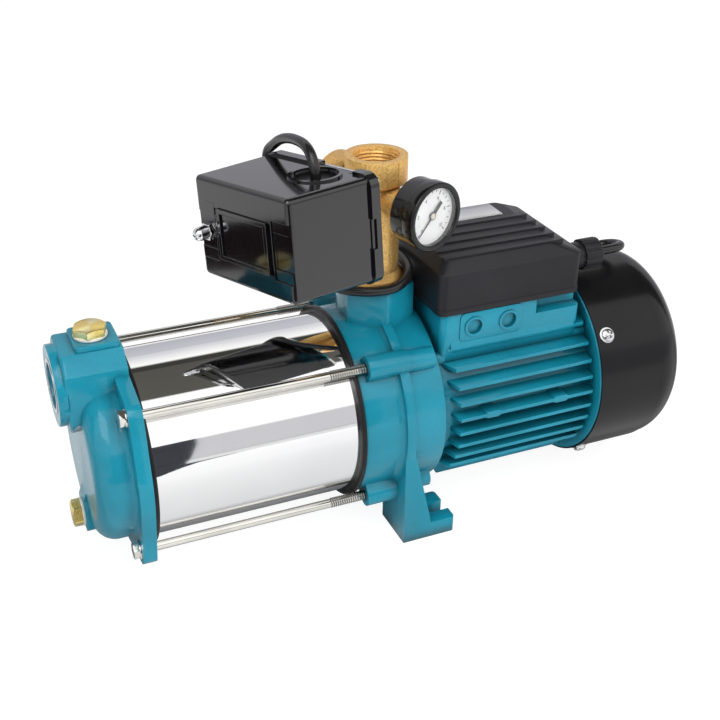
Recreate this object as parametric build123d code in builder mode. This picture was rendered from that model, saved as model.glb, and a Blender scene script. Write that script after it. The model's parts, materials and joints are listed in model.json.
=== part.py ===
from build123d import *
from math import cos, radians, sin, sqrt, tan
import os

os.makedirs("parts", exist_ok=True)

# Multistage water pressure pump with motor, brass manifold, gauge and pressure switch.
# Frame: the shaft lies along X with the suction port at -X, Z is up and the feet stand on Z = 0.
# The origin is midway between the two foot bolts.

# Frame sizes
shaft_height = 85.0
thread_gap = 0.1
seat_gap = 0.05
running_gap = 0.05
free_gap = 0.3

# Barrel, its gaskets and the bolts that hold the wet end together
barrel_r = 62.5
barrel_wall = 1.5
barrel_length = 136.5
gasket_thickness = 3.0
gasket_r = 67.5
bracket_face_x = -56.0
tie_pitch = 100.0
tie_rod_r = 3.0
tie_head_flats = 10.0
tie_head_height = 4.5
tie_grip = 15.0
tie_hole_spare = 2.0

# Suction head
flange_r = 69.0
flange_thickness = 9.0
ear_r = 9.5
dome_r = 60.0
dome_depth = 23.5
dome_corner = 14.0
dome_blend = 4.0
head_wall = 6.0
port_height = 53.0
port_ring_r = 26.4
port_ring_length = 5.0
port_block_width = 52.0
port_block_chamfer = 10.0
port_block_edge = 2.5
port_face_reach = 11.5
port_block_length = 39.0
port_passage_r = 17.0
pad_width = 30.0
pad_length = 28.0
pad_step = 3.5
soft_edge = 0.8
priming_x_from_flange = 16.5
drain_height = 46.0
drain_boss_width = 22.0
drain_boss_height = 24.0
drain_boss_reach = 2.5
drain_boss_chamfer = 4.0
drain_gusset_rise = 9.0
spigot_wall = 4.0
spigot_gap = 0.4

# Threads, as the plain cylinders they are cut on
g1_minor_r = 15.15
g1_major_r = 16.6
g1_depth = 18.0

# Plugs
priming_plug_flats = 19.0
priming_plug_head = 5.5
priming_plug_r = 8.2
priming_plug_length = 10.0
drain_plug_flats = 17.0
drain_plug_head = 6.0
drain_plug_r = 6.5
drain_plug_length = 9.0
plug_washer_thickness = 1.5
plug_washer_rim = 1.2
plug_chamfer = 0.8
priming_plug_turn = 12.0
drain_plug_turn = 20.0

# Discharge bracket
bracket_r = 66.0
chamber_r = 57.0
rib_x = -28.5
rib_thickness = 6.5
rib_r = 71.0
rib_blend = 5.0
bracket_end_x = 2.0
tie_boss_r = 8.0
tie_boss_inset = 5.5
motor_boss_place = 47.5
motor_bolt_place = 40.7
motor_bolt_r = 2.5
motor_bolt_grip = 12.0
motor_boss_r = 7.5
motor_boss_inset = 4.0
motor_cavity_r = 52.0
seal_wall_x = -14.0
seal_wall_thickness = 6.0
bracket_hub_r = 26.0
bearing_lip = 1.0
boss_x = -23.0
boss_flats = 46.5
boss_height = 88.0
boss_turn = 25.0
boss_thread_depth = 20.0
boss_passage_r = 13.0

# Feet
foot_front_x = -28.5
foot_end_x = 11.0
foot_outer_y = 69.0
foot_inner_y = 36.0
foot_thickness = 12.0
foot_slot_width = 11.0
foot_slot_y = 53.0
web_top = -10.0
web_inner_y = 33.0
web_inner_top = -50.0
web_foot_x = -7.5
foot_corner_r = 2.5

# Stages
stage_count = 4
stage_pitch = 30.0
stage_wall = 3.0
eye_r = 17.0
eye_gap = 0.4
impeller_r = 46.0
impeller_front = 5.0
shroud_thickness = 2.0
blade_height = 7.0
blade_count = 6
blade_thickness = 1.8
hub_r = 11.0
hub_gap = 0.6
guide_disc_r = 50.0
guide_disc_front = 18.0
guide_disc_thickness = 3.0
guide_vane_count = 7
guide_vane_thickness = 2.0
guide_vane_curve = 42.0
guide_vane_sweep = 38.0
blade_curve = 34.0
blade_sweep = 55.0

# Shaft
impeller_shaft_r = 7.0
seal_shaft_r = 8.0
front_journal_r = 8.5
rotor_shaft_r = 10.0
rear_journal_r = 7.5
fan_shaft_r = 6.0
impeller_nut_flats = 17.0
impeller_nut_height = 8.0
shaft_end_spare = 2.0

# Mechanical seal
seal_seat_r = 15.0
seal_seat_thickness = 6.0
seal_head_r = 13.0
seal_head_length = 20.0
seal_collar_r = 14.5
seal_collar_thickness = 4.0

# Ball bearings
front_bearing_r = 20.0
front_bearing_width = 12.0
rear_bearing_r = 17.5
rear_bearing_width = 11.0
front_ball_r = 3.37
rear_ball_r = 2.98
bearing_ball_count = 8
ring_share = 0.30
cage_thickness = 1.6
cage_depth = 5.0

# Motor
motor_length = 118.0
motor_body_r = 57.0
fin_r = 67.5
fin_pitch = 11.0
fin_thickness = 2.6
fin_root = 42.0
fin_start = 5.0
fin_front_slope = 6.0
fin_rear_slope = 3.0
side_fin_top = 48.5
side_fin_count = 9
bottom_fin_count = 7
ridge_r = 4.5
fin_pad_length = 12.0
fin_pad_height = 5.0
fin_pad_places = (37.5, 91.0)
fin_pad_fin = 4
core_length = 70.0
core_start = 22.0
rotor_r = 31.0
air_gap = 0.5
slot_count = 24
slot_depth = 11.0
slot_width = 4.0
slot_lip = 2.0
winding_inner_r = 34.0
winding_outer_r = 48.0
winding_length = 13.0
winding_corner = 4.0

# Terminal base on the motor
base_start_x = 6.0
base_end_x = 114.0
base_half_width = 45.5
base_top = 75.0
base_bottom = 40.0
base_wall = 4.5
base_floor = 58.5
base_corner = 5.0
base_foot_rise = 4.0
knockout_places = (30.0, 56.0)
knockout_height = 63.5
knockout_r = 7.2
knockout_step = 1.2
knockout_wall = 1.6
knockout_recess = 1.0
knockout_pad_width = 47.0
knockout_pad_height = 21.0
knockout_pad_step = 0.8
pocket_start = 78.0
pocket_end = 118.0
pocket_depth = 10.0
pocket_floor = 63.5
wire_hole_r = 8.0

# Terminal cover
cover_start_x = 3.5
cover_end_x = 111.0
cover_half_width = 47.0
cover_side_above_gland = 15.4
cover_shoulder = 7.5
cover_corner = 6.0
cover_wall = 2.5
plateau_start = 9.5
plateau_end = 93.0
plateau_half_width = 40.0
step_places = (-38.5, -27.0, -15.0, -3.0, 9.5)
step_width = 7.0
step_height = 1.1
step_depth = 3.0
step_run_out = 6.0
cover_lip_height = 4.0
cover_lip_step = 0.4
plate_length = 66.0
plate_width = 22.0
plate_thickness = 0.5
plate_corner = 1.5
plate_x = 51.0
plate_y = 28.0

# Parts under the terminal cover
capacitor_r = 15.0
capacitor_length = 62.0
capacitor_x = 22.0
capacitor_y = 20.0
capacitor_stud_r = 4.0
capacitor_stud_length = 6.0
block_length = 52.0
block_width = 20.0
block_height = 16.0
block_x = 42.0
block_y = -20.0
block_poles = 4
block_slot_depth = 5.0

# Cable gland of the motor
gland_y = -20.0
gland_rise = 15.2
gland_collar_r = 9.5
gland_collar_length = 15.0
gland_sleeve_r = 8.0
gland_nut_r = 11.0
gland_nut_length = 14.0
gland_nut_flutes = 10
gland_flute_r = 1.1
gland_insert_r = 5.6
gland_tail = 6.0

# Rear end shield, fan and fan cover
shield_plate = 7.0
shield_r = 72.0
shield_rim_length = 18.0
shield_rim_wall = 3.0
shield_hub_r = 23.0
bolt_head_flats = 8.0
bolt_head_height = 3.5
fan_cover_spare = 0.2
fan_cover_wall = 1.2
fan_cover_front_x = 121.0
fan_cover_crease_x = 172.0
fan_cover_crease_step = 0.8
fan_cover_end_x = 196.0
fan_cover_shoulder = 19.4
fan_cover_bulge_x = 188.0
fan_cover_bulge_step = 5.9
inner_slot_count = 10
outer_slot_count = 20
grille_slot_width = 4.0
inner_slot_length = 13.0
outer_slot_length = 15.0
grille_slot_gap = 4.0
grille_edge = 8.0
cover_screw_x = 129.0
cover_screw_angle = 36.0
cover_screw_count = 4
cover_screw_r = 1.9
cover_screw_head_r = 4.2
cover_screw_head = 2.2
fan_hub_r = 11.0
fan_start_x = 146.0
fan_disc = 2.5
fan_tip_gap = 12.2
fan_depth = 24.0
fan_blade_count = 8
fan_blade_thickness = 2.0

# Manifold
manifold_turn = 20.4
port_level = 148.0
manifold_tube_r = 15.75
manifold_bore_r = 12.0
manifold_top = 175.5
manifold_socket_r = 20.5
manifold_socket_height = 17.5
manifold_flare_r = 20.5
manifold_flare_height = 5.0
manifold_bead = 0.8
side_port_reach = 38.0
side_socket_length = 19.0
small_boss_r = 9.5
small_boss_reach = 25.0
small_bore_r = 6.5
small_bore_depth = 11.0
small_passage_r = 4.0

# Gauge
gauge_back = 34.0
gauge_r = 24.0
gauge_depth = 20.0
gauge_wall = 1.5
bezel_r = 25.0
bezel_length = 6.0
bezel_face = 56.5
bezel_window_r = 21.0
gauge_seam_r = 24.5
gauge_seam_width = 1.0
gauge_seam_place = 9.0
dial_r = 22.2
dial_thickness = 0.8
dial_place = 49.0
lens_thickness = 1.6
stem_flats = 14.0
needle_length = 17.0
needle_tail = 8.0
needle_thickness = 0.5
needle_width = 1.0
needle_tail_width = 2.6
needle_hub_r = 2.2
needle_float = 1.0
needle_rest_angle = 225.0
spindle_r = 0.9

# Pressure switch
switch_roll = 5.4
switch_side_shift = -3.5
switch_lift = -3.8
switch_open = 39.0
switch_end = 106.6
switch_width = 94.0
switch_height = 66.6
switch_end_width = 88.4
switch_end_height = 64.4
switch_end_rise = 2.4
switch_corner = 3.5
switch_edge = 3.0
switch_wall = 2.5
switch_end_wall = 3.6
switch_rim_length = 7.0
switch_rim_step = 1.8
switch_rim_corner = 8.0
rim_gap_start = 1.0
rim_gap_end = 33.0
rim_gap_depth = 1.2
rim_lug_width = 4.0
side_recess_start = 43.0
side_recess_length = 3.5
side_recess_bottom = -11.0
side_recess_top = 8.0
side_recess_depth = 1.2
switch_collar_place = 62.0
switch_collar_side = 17.5
switch_collar_r = 16.8
switch_collar_wall = 2.2
switch_collar_top = 35.0
switch_collar_foot = 28.5
switch_collar_step = 2.0
grommet_seat_r = 13.0
grommet_r = 11.0
grommet_height = 1.5
grommet_level = 30.0
channel_bottom = -10.5
channel_top = 12.3
channel_depth = 1.6
ledge_bottom = -17.5
ledge_top = 19.5
ledge_start = 27.0
ledge_depth = 0.8
frame_half_width = 23.5
frame_bottom = -15.0
frame_top = 17.0
frame_step = 1.2
frame_border = 2.5
frame_groove_width = 3.4
frame_groove_depth = 2.4
switch_plate_thickness = 2.5
switch_plate_margin = 1.0
nipple_flats = 22.0
nipple_thread_r = 6.4
diaphragm_r = 18.0
diaphragm_thickness = 1.5
diaphragm_cap_thickness = 2.0
plunger_r = 6.0
stud_place = -33.0
stud_height = 1.0
stud_r = 2.5
stud_tip = 6.0
acorn_flats = 10.0
acorn_hexagon = 5.0
acorn_height = 14.0
spring_r = 5.0
spring_wire_r = 1.0
spring_turns = 6
spring_length = 30.0
spring_collar = 3.0
contact_block_width = 8.0
contact_block_height = 44.0
contact_block_depth = 30.0
block_place = 30.0
rocker_start = 52.0
rocker_thickness = 2.0
rocker_width = 14.0
rocker_lift = 1.3
rocker_pin_r = 2.0
rocker_pin_place = 22.0
rocker_end_place = -38.0
rocker_side_gap = 0.5
rocker_hole_spare = 2.0
ear_eye_r = 4.0
ear_thickness = 4.0

# Lead between the pressure switch and the motor: its loop is given along, across and up from the switch
lead_r = 3.3
lead_arc_share = 0.45
lead_exit_side = 18.0
lead_loop = (
    (62.0, 18.0, 40.0),
    (59.0, 9.0, 50.0),
    (51.0, -14.0, 49.5),
    (46.0, -32.0, 45.5),
    (43.0, -45.0, 38.5),
    (42.5, -51.0, 34.5),
    (41.8, -54.3, 26.5),
    (42.0, -54.3, -41.0),
)
lead_run = (
    (-78.0, 8.0, 186.0),
    (-58.0, -18.0, 179.5),
    (-40.0, -27.5, 177.5),
    (-17.0, -28.5, 177.0),
    (-1.3, -13.0, 182.5),
    (-1.3, 20.0, 184.0),
    (-2.0, 55.0, 168.0),
    (4.0, 57.0, 143.0),
    (20.0, 53.0, 127.2),
    (88.0, 53.0, 127.2),
)
lead_low_gap = 9.0
lead_far_x = 168.0
lead_far_y = 2.0

# Stations along the shaft that follow from the sizes above
barrel_end_x = bracket_face_x - gasket_thickness
barrel_start_x = barrel_end_x - barrel_length
head_face_x = barrel_start_x - gasket_thickness
flange_front_x = head_face_x - flange_thickness
dome_front_x = flange_front_x - dome_depth
port_face_x = dome_front_x - port_face_reach
barrel_inner_r = barrel_r - barrel_wall
spigot_r = barrel_inner_r - spigot_gap
stack_length = stage_count * stage_pitch
stack_start_x = (barrel_start_x + barrel_end_x - stack_length) / 2
stack_end_x = stack_start_x + stack_length
rib_end_x = rib_x + rib_thickness
motor_start_x = bracket_end_x
motor_end_x = motor_start_x + motor_length
boss_top_z = shaft_height + boss_height
seal_wall_end_x = seal_wall_x + seal_wall_thickness
front_bearing_x = seal_wall_end_x + bearing_lip
rear_bearing_x = motor_end_x - 8.0
rear_bearing_end_x = rear_bearing_x + rear_bearing_width
shield_end_x = motor_end_x + shield_plate
fan_end_x = fan_start_x + fan_depth
fan_cover_r = shield_r + fan_cover_spare + fan_cover_wall
fan_cover_crease_r = fan_cover_r - fan_cover_crease_step
fan_cover_bulge_r = fan_cover_r - fan_cover_bulge_step
fan_cover_face_r = fan_cover_r - fan_cover_shoulder
outer_slot_start = fan_cover_face_r - grille_edge - outer_slot_length
inner_slot_start = outer_slot_start - grille_slot_gap - inner_slot_length
fan_r = fan_cover_r - fan_cover_wall - fan_tip_gap
gland_height = fan_cover_r + gland_rise
cover_side_top = gland_height + cover_side_above_gland
cover_top = cover_side_top + cover_shoulder
gland_end_x = cover_end_x + gland_collar_length + gland_nut_length
gland_z = shaft_height + gland_height
port_z = shaft_height + port_level

tie_places = [(y * tie_pitch / 2, z * tie_pitch / 2) for y in (-1, 1) for z in (-1, 1)]
motor_bolt_places = [(y * motor_bolt_place, z * motor_bolt_place) for y in (-1, 1) for z in (-1, 1)]
shaft_axis = Axis((0, 0, shaft_height), (1, 0, 0))
profile_plane = Plane(origin=(0, 0, shaft_height), x_dir=(1, 0, 0), z_dir=(0, -1, 0))
switch_dir = (-cos(radians(manifold_turn)), -sin(radians(manifold_turn)), 0)
gauge_dir = (sin(radians(manifold_turn)), -cos(radians(manifold_turn)), 0)
side_dir = (-gauge_dir[0], -gauge_dir[1], 0)
roll_cos = cos(radians(switch_roll))
roll_sin = sin(radians(switch_roll))
switch_side = (gauge_dir[0] * roll_cos, gauge_dir[1] * roll_cos, roll_sin)
switch_up = (-gauge_dir[0] * roll_sin, -gauge_dir[1] * roll_sin, roll_cos)


def across(x):
    """Plane square to the shaft at x: its own x runs along +Y and its own y along +Z."""
    return Plane(origin=(x, 0, shaft_height), x_dir=(0, 1, 0), z_dir=(1, 0, 0))


def level(height):
    """Horizontal plane at a height above the shaft."""
    return Plane.XY.offset(shaft_height + height)


def on_gauge(distance):
    """Plane square to the gauge's axis, at a distance from the manifold's axis."""
    origin = (boss_x + gauge_dir[0] * distance, gauge_dir[1] * distance, port_z)
    return Plane(origin=origin, x_dir=(-switch_dir[0], -switch_dir[1], 0), z_dir=gauge_dir)


def on_side_port(distance):
    """Plane square to the third port's axis."""
    origin = (boss_x + side_dir[0] * distance, side_dir[1] * distance, port_z)
    return Plane(origin=origin, x_dir=switch_dir, z_dir=side_dir)


def on_switch_port(distance):
    """Plane square to the manifold's switch port, rolled as the pressure switch is screwed onto it."""
    origin = (boss_x + switch_dir[0] * distance, switch_dir[1] * distance, port_z)
    return Plane(origin=origin, x_dir=switch_side, z_dir=switch_dir)


def on_switch(distance):
    """Plane square to the pressure switch's cover: its own x points to the gauge side, its own y up."""
    origin = on_switch_port(distance).from_local_coords((switch_side_shift, switch_lift, 0))
    return Plane(origin=origin, x_dir=switch_side, z_dir=switch_dir)


def in_switch(along, side, up):
    """Point given along the pressure switch, across it towards the gauge side, and up from its middle."""
    return on_switch(along).from_local_coords((side, up, 0))


def turned(*points):
    """A body turned about the shaft from the points (x, radius) of its section."""
    with BuildPart() as body:
        with BuildSketch(profile_plane):
            Polygon(*points, align=None)
        revolve(axis=shaft_axis)
    return body.part


def tube(start_x, end_x, inner_r, outer_r):
    """A plain ring about the shaft."""
    return turned((start_x, inner_r), (end_x, inner_r), (end_x, outer_r), (start_x, outer_r))


# Blocks of the suction head that have soft edges: the port block with its ring, and the priming pad
with BuildPart() as port_block:
    with BuildSketch(across(port_face_x + port_ring_length)):
        with Locations((0, port_height)):
            block = Rectangle(port_block_width, port_block_width + 2)
            chamfer(block.vertices(), port_block_chamfer)
    extrude(amount=port_block_length)
    fillet(port_block.faces().sort_by(Axis.X)[0].edges(), port_block_edge)
    with BuildSketch(across(port_face_x)):
        with Locations((0, port_height)):
            Circle(port_ring_r)
    extrude(amount=port_ring_length + 1)
    fillet(port_block.faces().sort_by(Axis.X)[0].edges(), soft_edge)

with BuildPart() as priming_pad:
    with BuildSketch(level(port_height + port_block_width / 2)):
        with Locations((head_face_x - pad_length / 2 - 1, 0)):
            RectangleRounded(pad_length, pad_width, 3)
    extrude(amount=pad_step + 1)
    fillet(priming_pad.faces().sort_by(Axis.Z)[-1].edges(), soft_edge)

# Suction head: volute dome, port block, priming pad, drain boss with its gusset and eared flange
with BuildPart() as suction_head:
    with BuildSketch(profile_plane):
        with BuildLine():
            Polyline(
                (flange_front_x, dome_r + dome_blend),
                (flange_front_x, flange_r),
                (head_face_x, flange_r),
                (head_face_x, 0),
                (dome_front_x, 0),
                (dome_front_x, dome_r - dome_corner),
            )
            Line((dome_front_x + dome_corner, dome_r), (flange_front_x - dome_blend, dome_r))
            ThreePointArc(
                (flange_front_x - dome_blend, dome_r),
                (flange_front_x - dome_blend * (1 - sqrt(0.5)), dome_r + dome_blend * (1 - sqrt(0.5))),
                (flange_front_x, dome_r + dome_blend),
            )
            RadiusArc(
                (dome_front_x, dome_r - dome_corner),
                (dome_front_x + dome_corner, dome_r),
                dome_corner,
            )
        make_face()
    revolve(axis=shaft_axis)
    with BuildSketch(across(flange_front_x)):
        with BuildLine():
            CenterArc((0, 0), flange_r, 0, 360)
            for place in tie_places:
                CenterArc(place, ear_r, 0, 360)
        make_hull()
    extrude(amount=flange_thickness)
    add(port_block.part)
    add(priming_pad.part)
    with BuildSketch(across(dome_front_x - drain_boss_reach)):
        with Locations((0, -drain_height)):
            boss = Rectangle(drain_boss_width, drain_boss_height)
            chamfer(boss.vertices(), drain_boss_chamfer)
    extrude(amount=dome_corner + drain_boss_reach)
    gusset_foot = drain_boss_height / 2 - drain_height
    with BuildSketch(profile_plane):
        Polygon(
            (dome_front_x - drain_boss_reach, gusset_foot - 1),
            (dome_front_x - drain_boss_reach, gusset_foot),
            (dome_front_x + 1, gusset_foot + drain_gusset_rise),
            (dome_front_x + 1, gusset_foot - 1),
            align=None,
        )
    extrude(amount=drain_boss_width / 2 - drain_boss_chamfer, both=True)
    # Hollow of the dome, then the suction passage, the priming hole and the drain hole
    chamber_corner = dome_corner - head_wall
    with BuildSketch(profile_plane):
        with BuildLine():
            Polyline(
                (dome_front_x + dome_corner, dome_r - head_wall),
                (head_face_x, dome_r - head_wall),
                (head_face_x, 0),
                (dome_front_x + head_wall, 0),
                (dome_front_x + head_wall, dome_r - dome_corner),
            )
            RadiusArc(
                (dome_front_x + head_wall, dome_r - dome_corner),
                (dome_front_x + dome_corner, dome_r - head_wall),
                chamber_corner,
            )
        make_face()
    revolve(axis=shaft_axis, mode=Mode.SUBTRACT)
    with BuildSketch(across(port_face_x)):
        with Locations((0, port_height)):
            Circle(g1_minor_r)
    extrude(amount=g1_depth, mode=Mode.SUBTRACT)
    with BuildSketch(across(port_face_x + g1_depth)):
        with Locations((0, port_height)):
            Circle(port_passage_r)
    extrude(amount=flange_front_x - port_face_x - g1_depth, mode=Mode.SUBTRACT)
    pad_top = port_height + port_block_width / 2 + pad_step + 1
    with BuildSketch(level(pad_top)):
        with Locations((flange_front_x + flange_thickness - priming_x_from_flange, 0)):
            Circle(priming_plug_r + thread_gap)
    extrude(amount=-(pad_top - port_height), mode=Mode.SUBTRACT)
    with BuildSketch(across(dome_front_x - drain_boss_reach)):
        with Locations((0, -drain_height)):
            Circle(drain_plug_r + thread_gap)
    extrude(amount=dome_corner, mode=Mode.SUBTRACT)
    # Spigot that centres the barrel and carries the first stage
    with BuildSketch(across(head_face_x)):
        Circle(spigot_r)
        Circle(spigot_r - spigot_wall, mode=Mode.SUBTRACT)
    extrude(amount=stack_start_x - head_face_x)
    with BuildSketch(across(flange_front_x)):
        with Locations(*tie_places):
            Circle(tie_rod_r + free_gap)
    extrude(amount=flange_thickness, mode=Mode.SUBTRACT)
suction_head.part.label = "suction_head"
export_step(suction_head.part, "parts/suction_head.step")

# Priming plug on the pad above the port block, drain plug low on the dome, and a washer under each
priming_x = head_face_x - priming_x_from_flange
priming_seat_z = shaft_height + pad_top + plug_washer_thickness
drain_face_x = dome_front_x - drain_boss_reach
drain_seat_x = drain_face_x - plug_washer_thickness
with BuildPart() as plug_washers:
    with BuildSketch(Plane(origin=(priming_x, 0, shaft_height + pad_top))):
        Circle(priming_plug_flats / 2 + plug_washer_rim)
        Circle(priming_plug_r + thread_gap, mode=Mode.SUBTRACT)
    extrude(amount=plug_washer_thickness)
    with BuildSketch(across(drain_face_x)):
        with Locations((0, -drain_height)):
            Circle(drain_plug_flats / 2 + plug_washer_rim)
            Circle(drain_plug_r + thread_gap, mode=Mode.SUBTRACT)
    extrude(amount=-plug_washer_thickness)
plug_washers.part.label = "plug_washers"
export_step(plug_washers.part, "parts/plug_washers.step")

with BuildPart() as priming_plug:
    with BuildSketch(Plane(origin=(priming_x, 0, priming_seat_z))):
        RegularPolygon(priming_plug_flats / 2, 6, major_radius=False, rotation=priming_plug_turn)
    extrude(amount=priming_plug_head)
    chamfer(priming_plug.faces().sort_by(Axis.Z)[-1].edges(), plug_chamfer)
    with BuildSketch(Plane(origin=(priming_x, 0, priming_seat_z))):
        Circle(priming_plug_r)
    extrude(amount=-(priming_plug_length + plug_washer_thickness))
priming_plug.part.label = "priming_plug"
export_step(priming_plug.part, "parts/priming_plug.step")

with BuildPart() as drain_plug:
    with BuildSketch(across(drain_seat_x)):
        with Locations((0, -drain_height)):
            RegularPolygon(drain_plug_flats / 2, 6, major_radius=False, rotation=drain_plug_turn)
    extrude(amount=-drain_plug_head)
    chamfer(drain_plug.faces().sort_by(Axis.X)[0].edges(), plug_chamfer)
    with BuildSketch(across(drain_seat_x)):
        with Locations((0, -drain_height)):
            Circle(drain_plug_r)
    extrude(amount=drain_plug_length + plug_washer_thickness)
drain_plug.part.label = "drain_plug"
export_step(drain_plug.part, "parts/drain_plug.step")

# Barrel and the gaskets at its ends
with BuildPart() as barrel:
    add(tube(barrel_start_x, barrel_end_x, barrel_inner_r, barrel_r))
barrel.part.label = "barrel"
export_step(barrel.part, "parts/barrel.step")

with BuildPart() as barrel_gaskets:
    add(tube(head_face_x, barrel_start_x, spigot_r + free_gap, gasket_r))
    add(tube(barrel_end_x, bracket_face_x, spigot_r + free_gap, gasket_r))
barrel_gaskets.part.label = "barrel_gaskets"
export_step(barrel_gaskets.part, "parts/barrel_gaskets.step")

# Four long bolts from the flange ears into the bracket
tie_boss_x = bracket_face_x + tie_boss_inset
with BuildPart() as tie_bolts:
    with BuildSketch(across(flange_front_x)):
        with Locations(*tie_places):
            Circle(tie_rod_r)
    extrude(amount=tie_boss_x + tie_grip - flange_front_x)
    with BuildSketch(across(flange_front_x)):
        with Locations(*tie_places):
            RegularPolygon(tie_head_flats / 2, 6, major_radius=False, rotation=30)
    extrude(amount=-tie_head_height)
tie_bolts.part.label = "tie_bolts"
export_step(tie_bolts.part, "parts/tie_bolts.step")

# Discharge bracket: webs and feet first, then the body, bosses and hollows
with BuildPart() as discharge_bracket:
    with BuildSketch(across(foot_front_x)):
        for side in (-1, 1):
            Polygon(
                (side * foot_outer_y, -shaft_height),
                (side * foot_outer_y, web_top),
                (side * web_inner_y, web_inner_top),
                (side * web_inner_y, -shaft_height),
                align=None,
            )
    extrude(amount=web_foot_x - foot_front_x)
    with BuildSketch(profile_plane):
        Polygon(
            (rib_end_x, web_top + 1),
            (web_foot_x, foot_thickness - shaft_height),
            (web_foot_x + 1, foot_thickness - shaft_height),
            (web_foot_x + 1, web_top + 1),
            align=None,
        )
    extrude(amount=foot_outer_y + 1, both=True, mode=Mode.SUBTRACT)
    with BuildSketch(Plane.XY):
        for side in (-1, 1):
            with Locations(((foot_front_x + foot_end_x) / 2, side * (foot_outer_y + foot_inner_y) / 2)):
                RectangleRounded(foot_end_x - foot_front_x, foot_outer_y - foot_inner_y, foot_corner_r)
    extrude(amount=foot_thickness)
    with BuildSketch(profile_plane):
        with BuildLine():
            Polyline(
                (rib_x, rib_r),
                (rib_end_x, rib_r),
                (rib_end_x, bracket_r),
                (bracket_end_x, bracket_r),
                (bracket_end_x, 0),
                (bracket_face_x, 0),
                (bracket_face_x, bracket_r),
                (rib_x - rib_blend, bracket_r),
            )
            ThreePointArc(
                (rib_x - rib_blend, bracket_r),
                (rib_x - rib_blend * (1 - sqrt(0.5)), bracket_r + rib_blend * (1 - sqrt(0.5))),
                (rib_x, rib_r),
            )
        make_face()
    revolve(axis=shaft_axis)
    with BuildSketch(across(tie_boss_x)):
        for turn in (45, 135):
            SlotCenterToCenter(tie_pitch * sqrt(2), 2 * tie_boss_r, rotation=turn)
    extrude(amount=rib_end_x - tie_boss_x)
    with BuildSketch(across(rib_x)):
        for turn in (45, 135):
            SlotCenterToCenter(motor_boss_place * 2 * sqrt(2), 2 * motor_boss_r, rotation=turn)
    extrude(amount=bracket_end_x - motor_boss_inset - rib_x)
    with BuildSketch(level(0)):
        with Locations((boss_x, 0)):
            RegularPolygon(boss_flats / 2, 6, major_radius=False, rotation=boss_turn)
    extrude(amount=boss_height)
    # Water chamber, seal bore and motor side hollow
    with BuildSketch(profile_plane):
        Polygon(
            (bracket_face_x, 0),
            (bracket_face_x, chamber_r),
            (seal_wall_x, chamber_r),
            (seal_wall_x, seal_seat_r + seat_gap),
            (seal_wall_x + seal_seat_thickness / 2, seal_seat_r + seat_gap),
            (seal_wall_x + seal_seat_thickness / 2, front_journal_r + 1),
            (front_bearing_x, front_journal_r + 1),
            (front_bearing_x, front_bearing_r + seat_gap),
            (bracket_end_x, front_bearing_r + seat_gap),
            (bracket_end_x, 0),
            align=None,
        )
    revolve(axis=shaft_axis, mode=Mode.SUBTRACT)
    with BuildSketch(across(seal_wall_end_x)):
        Circle(motor_cavity_r)
        Circle(bracket_hub_r, mode=Mode.SUBTRACT)
    extrude(amount=bracket_end_x - seal_wall_end_x, mode=Mode.SUBTRACT)
    # Rest of the bearing hub, which stands into the motor
    with BuildSketch(across(bracket_end_x)):
        Circle(bracket_hub_r)
        Circle(front_bearing_r + seat_gap, mode=Mode.SUBTRACT)
    extrude(amount=front_bearing_x + front_bearing_width + bearing_lip - bracket_end_x)
    # Spigot inside the barrel
    with BuildSketch(across(stack_end_x)):
        Circle(spigot_r)
        Circle(chamber_r, mode=Mode.SUBTRACT)
    extrude(amount=bracket_face_x - stack_end_x)
    # Delivery passage
    with BuildSketch(Plane(origin=(boss_x, 0, boss_top_z))):
        Circle(g1_major_r + thread_gap)
    extrude(amount=-boss_thread_depth, mode=Mode.SUBTRACT)
    with BuildSketch(Plane(origin=(boss_x, 0, boss_top_z - boss_thread_depth))):
        Circle(boss_passage_r)
    extrude(amount=-(boss_height - boss_thread_depth - chamber_r + 4), mode=Mode.SUBTRACT)
    # Bolt holes and open foot slots
    with BuildSketch(across(tie_boss_x)):
        with Locations(*tie_places):
            Circle(tie_rod_r + seat_gap)
    extrude(amount=tie_grip + tie_hole_spare, mode=Mode.SUBTRACT)
    with BuildSketch(across(bracket_end_x)):
        with Locations(*motor_bolt_places):
            Circle(motor_bolt_r + seat_gap)
    extrude(amount=-(motor_bolt_grip + 1), mode=Mode.SUBTRACT)
    with BuildSketch(Plane.XY):
        for side in (-1, 1):
            with Locations((0, side * foot_slot_y)):
                Circle(foot_slot_width / 2)
            with Locations((foot_end_x / 2 + 1, side * foot_slot_y)):
                Rectangle(foot_end_x + 2, foot_slot_width)
    extrude(amount=foot_thickness, mode=Mode.SUBTRACT)
discharge_bracket.part.label = "discharge_bracket"
export_step(discharge_bracket.part, "parts/discharge_bracket.step")


def stage_casing(start_x):
    """One stage casing: front plate with its eye, outer wall, and a guide disc carried by return vanes."""
    wall_r = spigot_r - stage_wall
    disc_x = start_x + guide_disc_front
    with BuildPart() as casing:
        with BuildSketch(across(start_x)):
            Circle(spigot_r)
            Circle(eye_r, mode=Mode.SUBTRACT)
        extrude(amount=stage_wall)
        with BuildSketch(across(start_x)):
            Circle(spigot_r)
            Circle(wall_r, mode=Mode.SUBTRACT)
        extrude(amount=stage_pitch)
        with BuildSketch(across(disc_x)):
            Circle(guide_disc_r)
            Circle(hub_r + hub_gap, mode=Mode.SUBTRACT)
        extrude(amount=guide_disc_thickness)
        with BuildSketch(across(disc_x)):
            for n in range(guide_vane_count):
                with BuildLine():
                    vane_turn = 360 / guide_vane_count * n
                    inner = tuple(Vector(eye_r + 8, 0).rotate(Axis.Z, vane_turn))[:2]
                    outer = tuple(Vector(wall_r + 1, 0).rotate(Axis.Z, vane_turn - guide_vane_sweep))[:2]
                    RadiusArc(inner, outer, guide_vane_curve)
                trace(line_width=guide_vane_thickness)
        extrude(amount=stage_pitch - guide_disc_front)
    return casing.part


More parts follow.
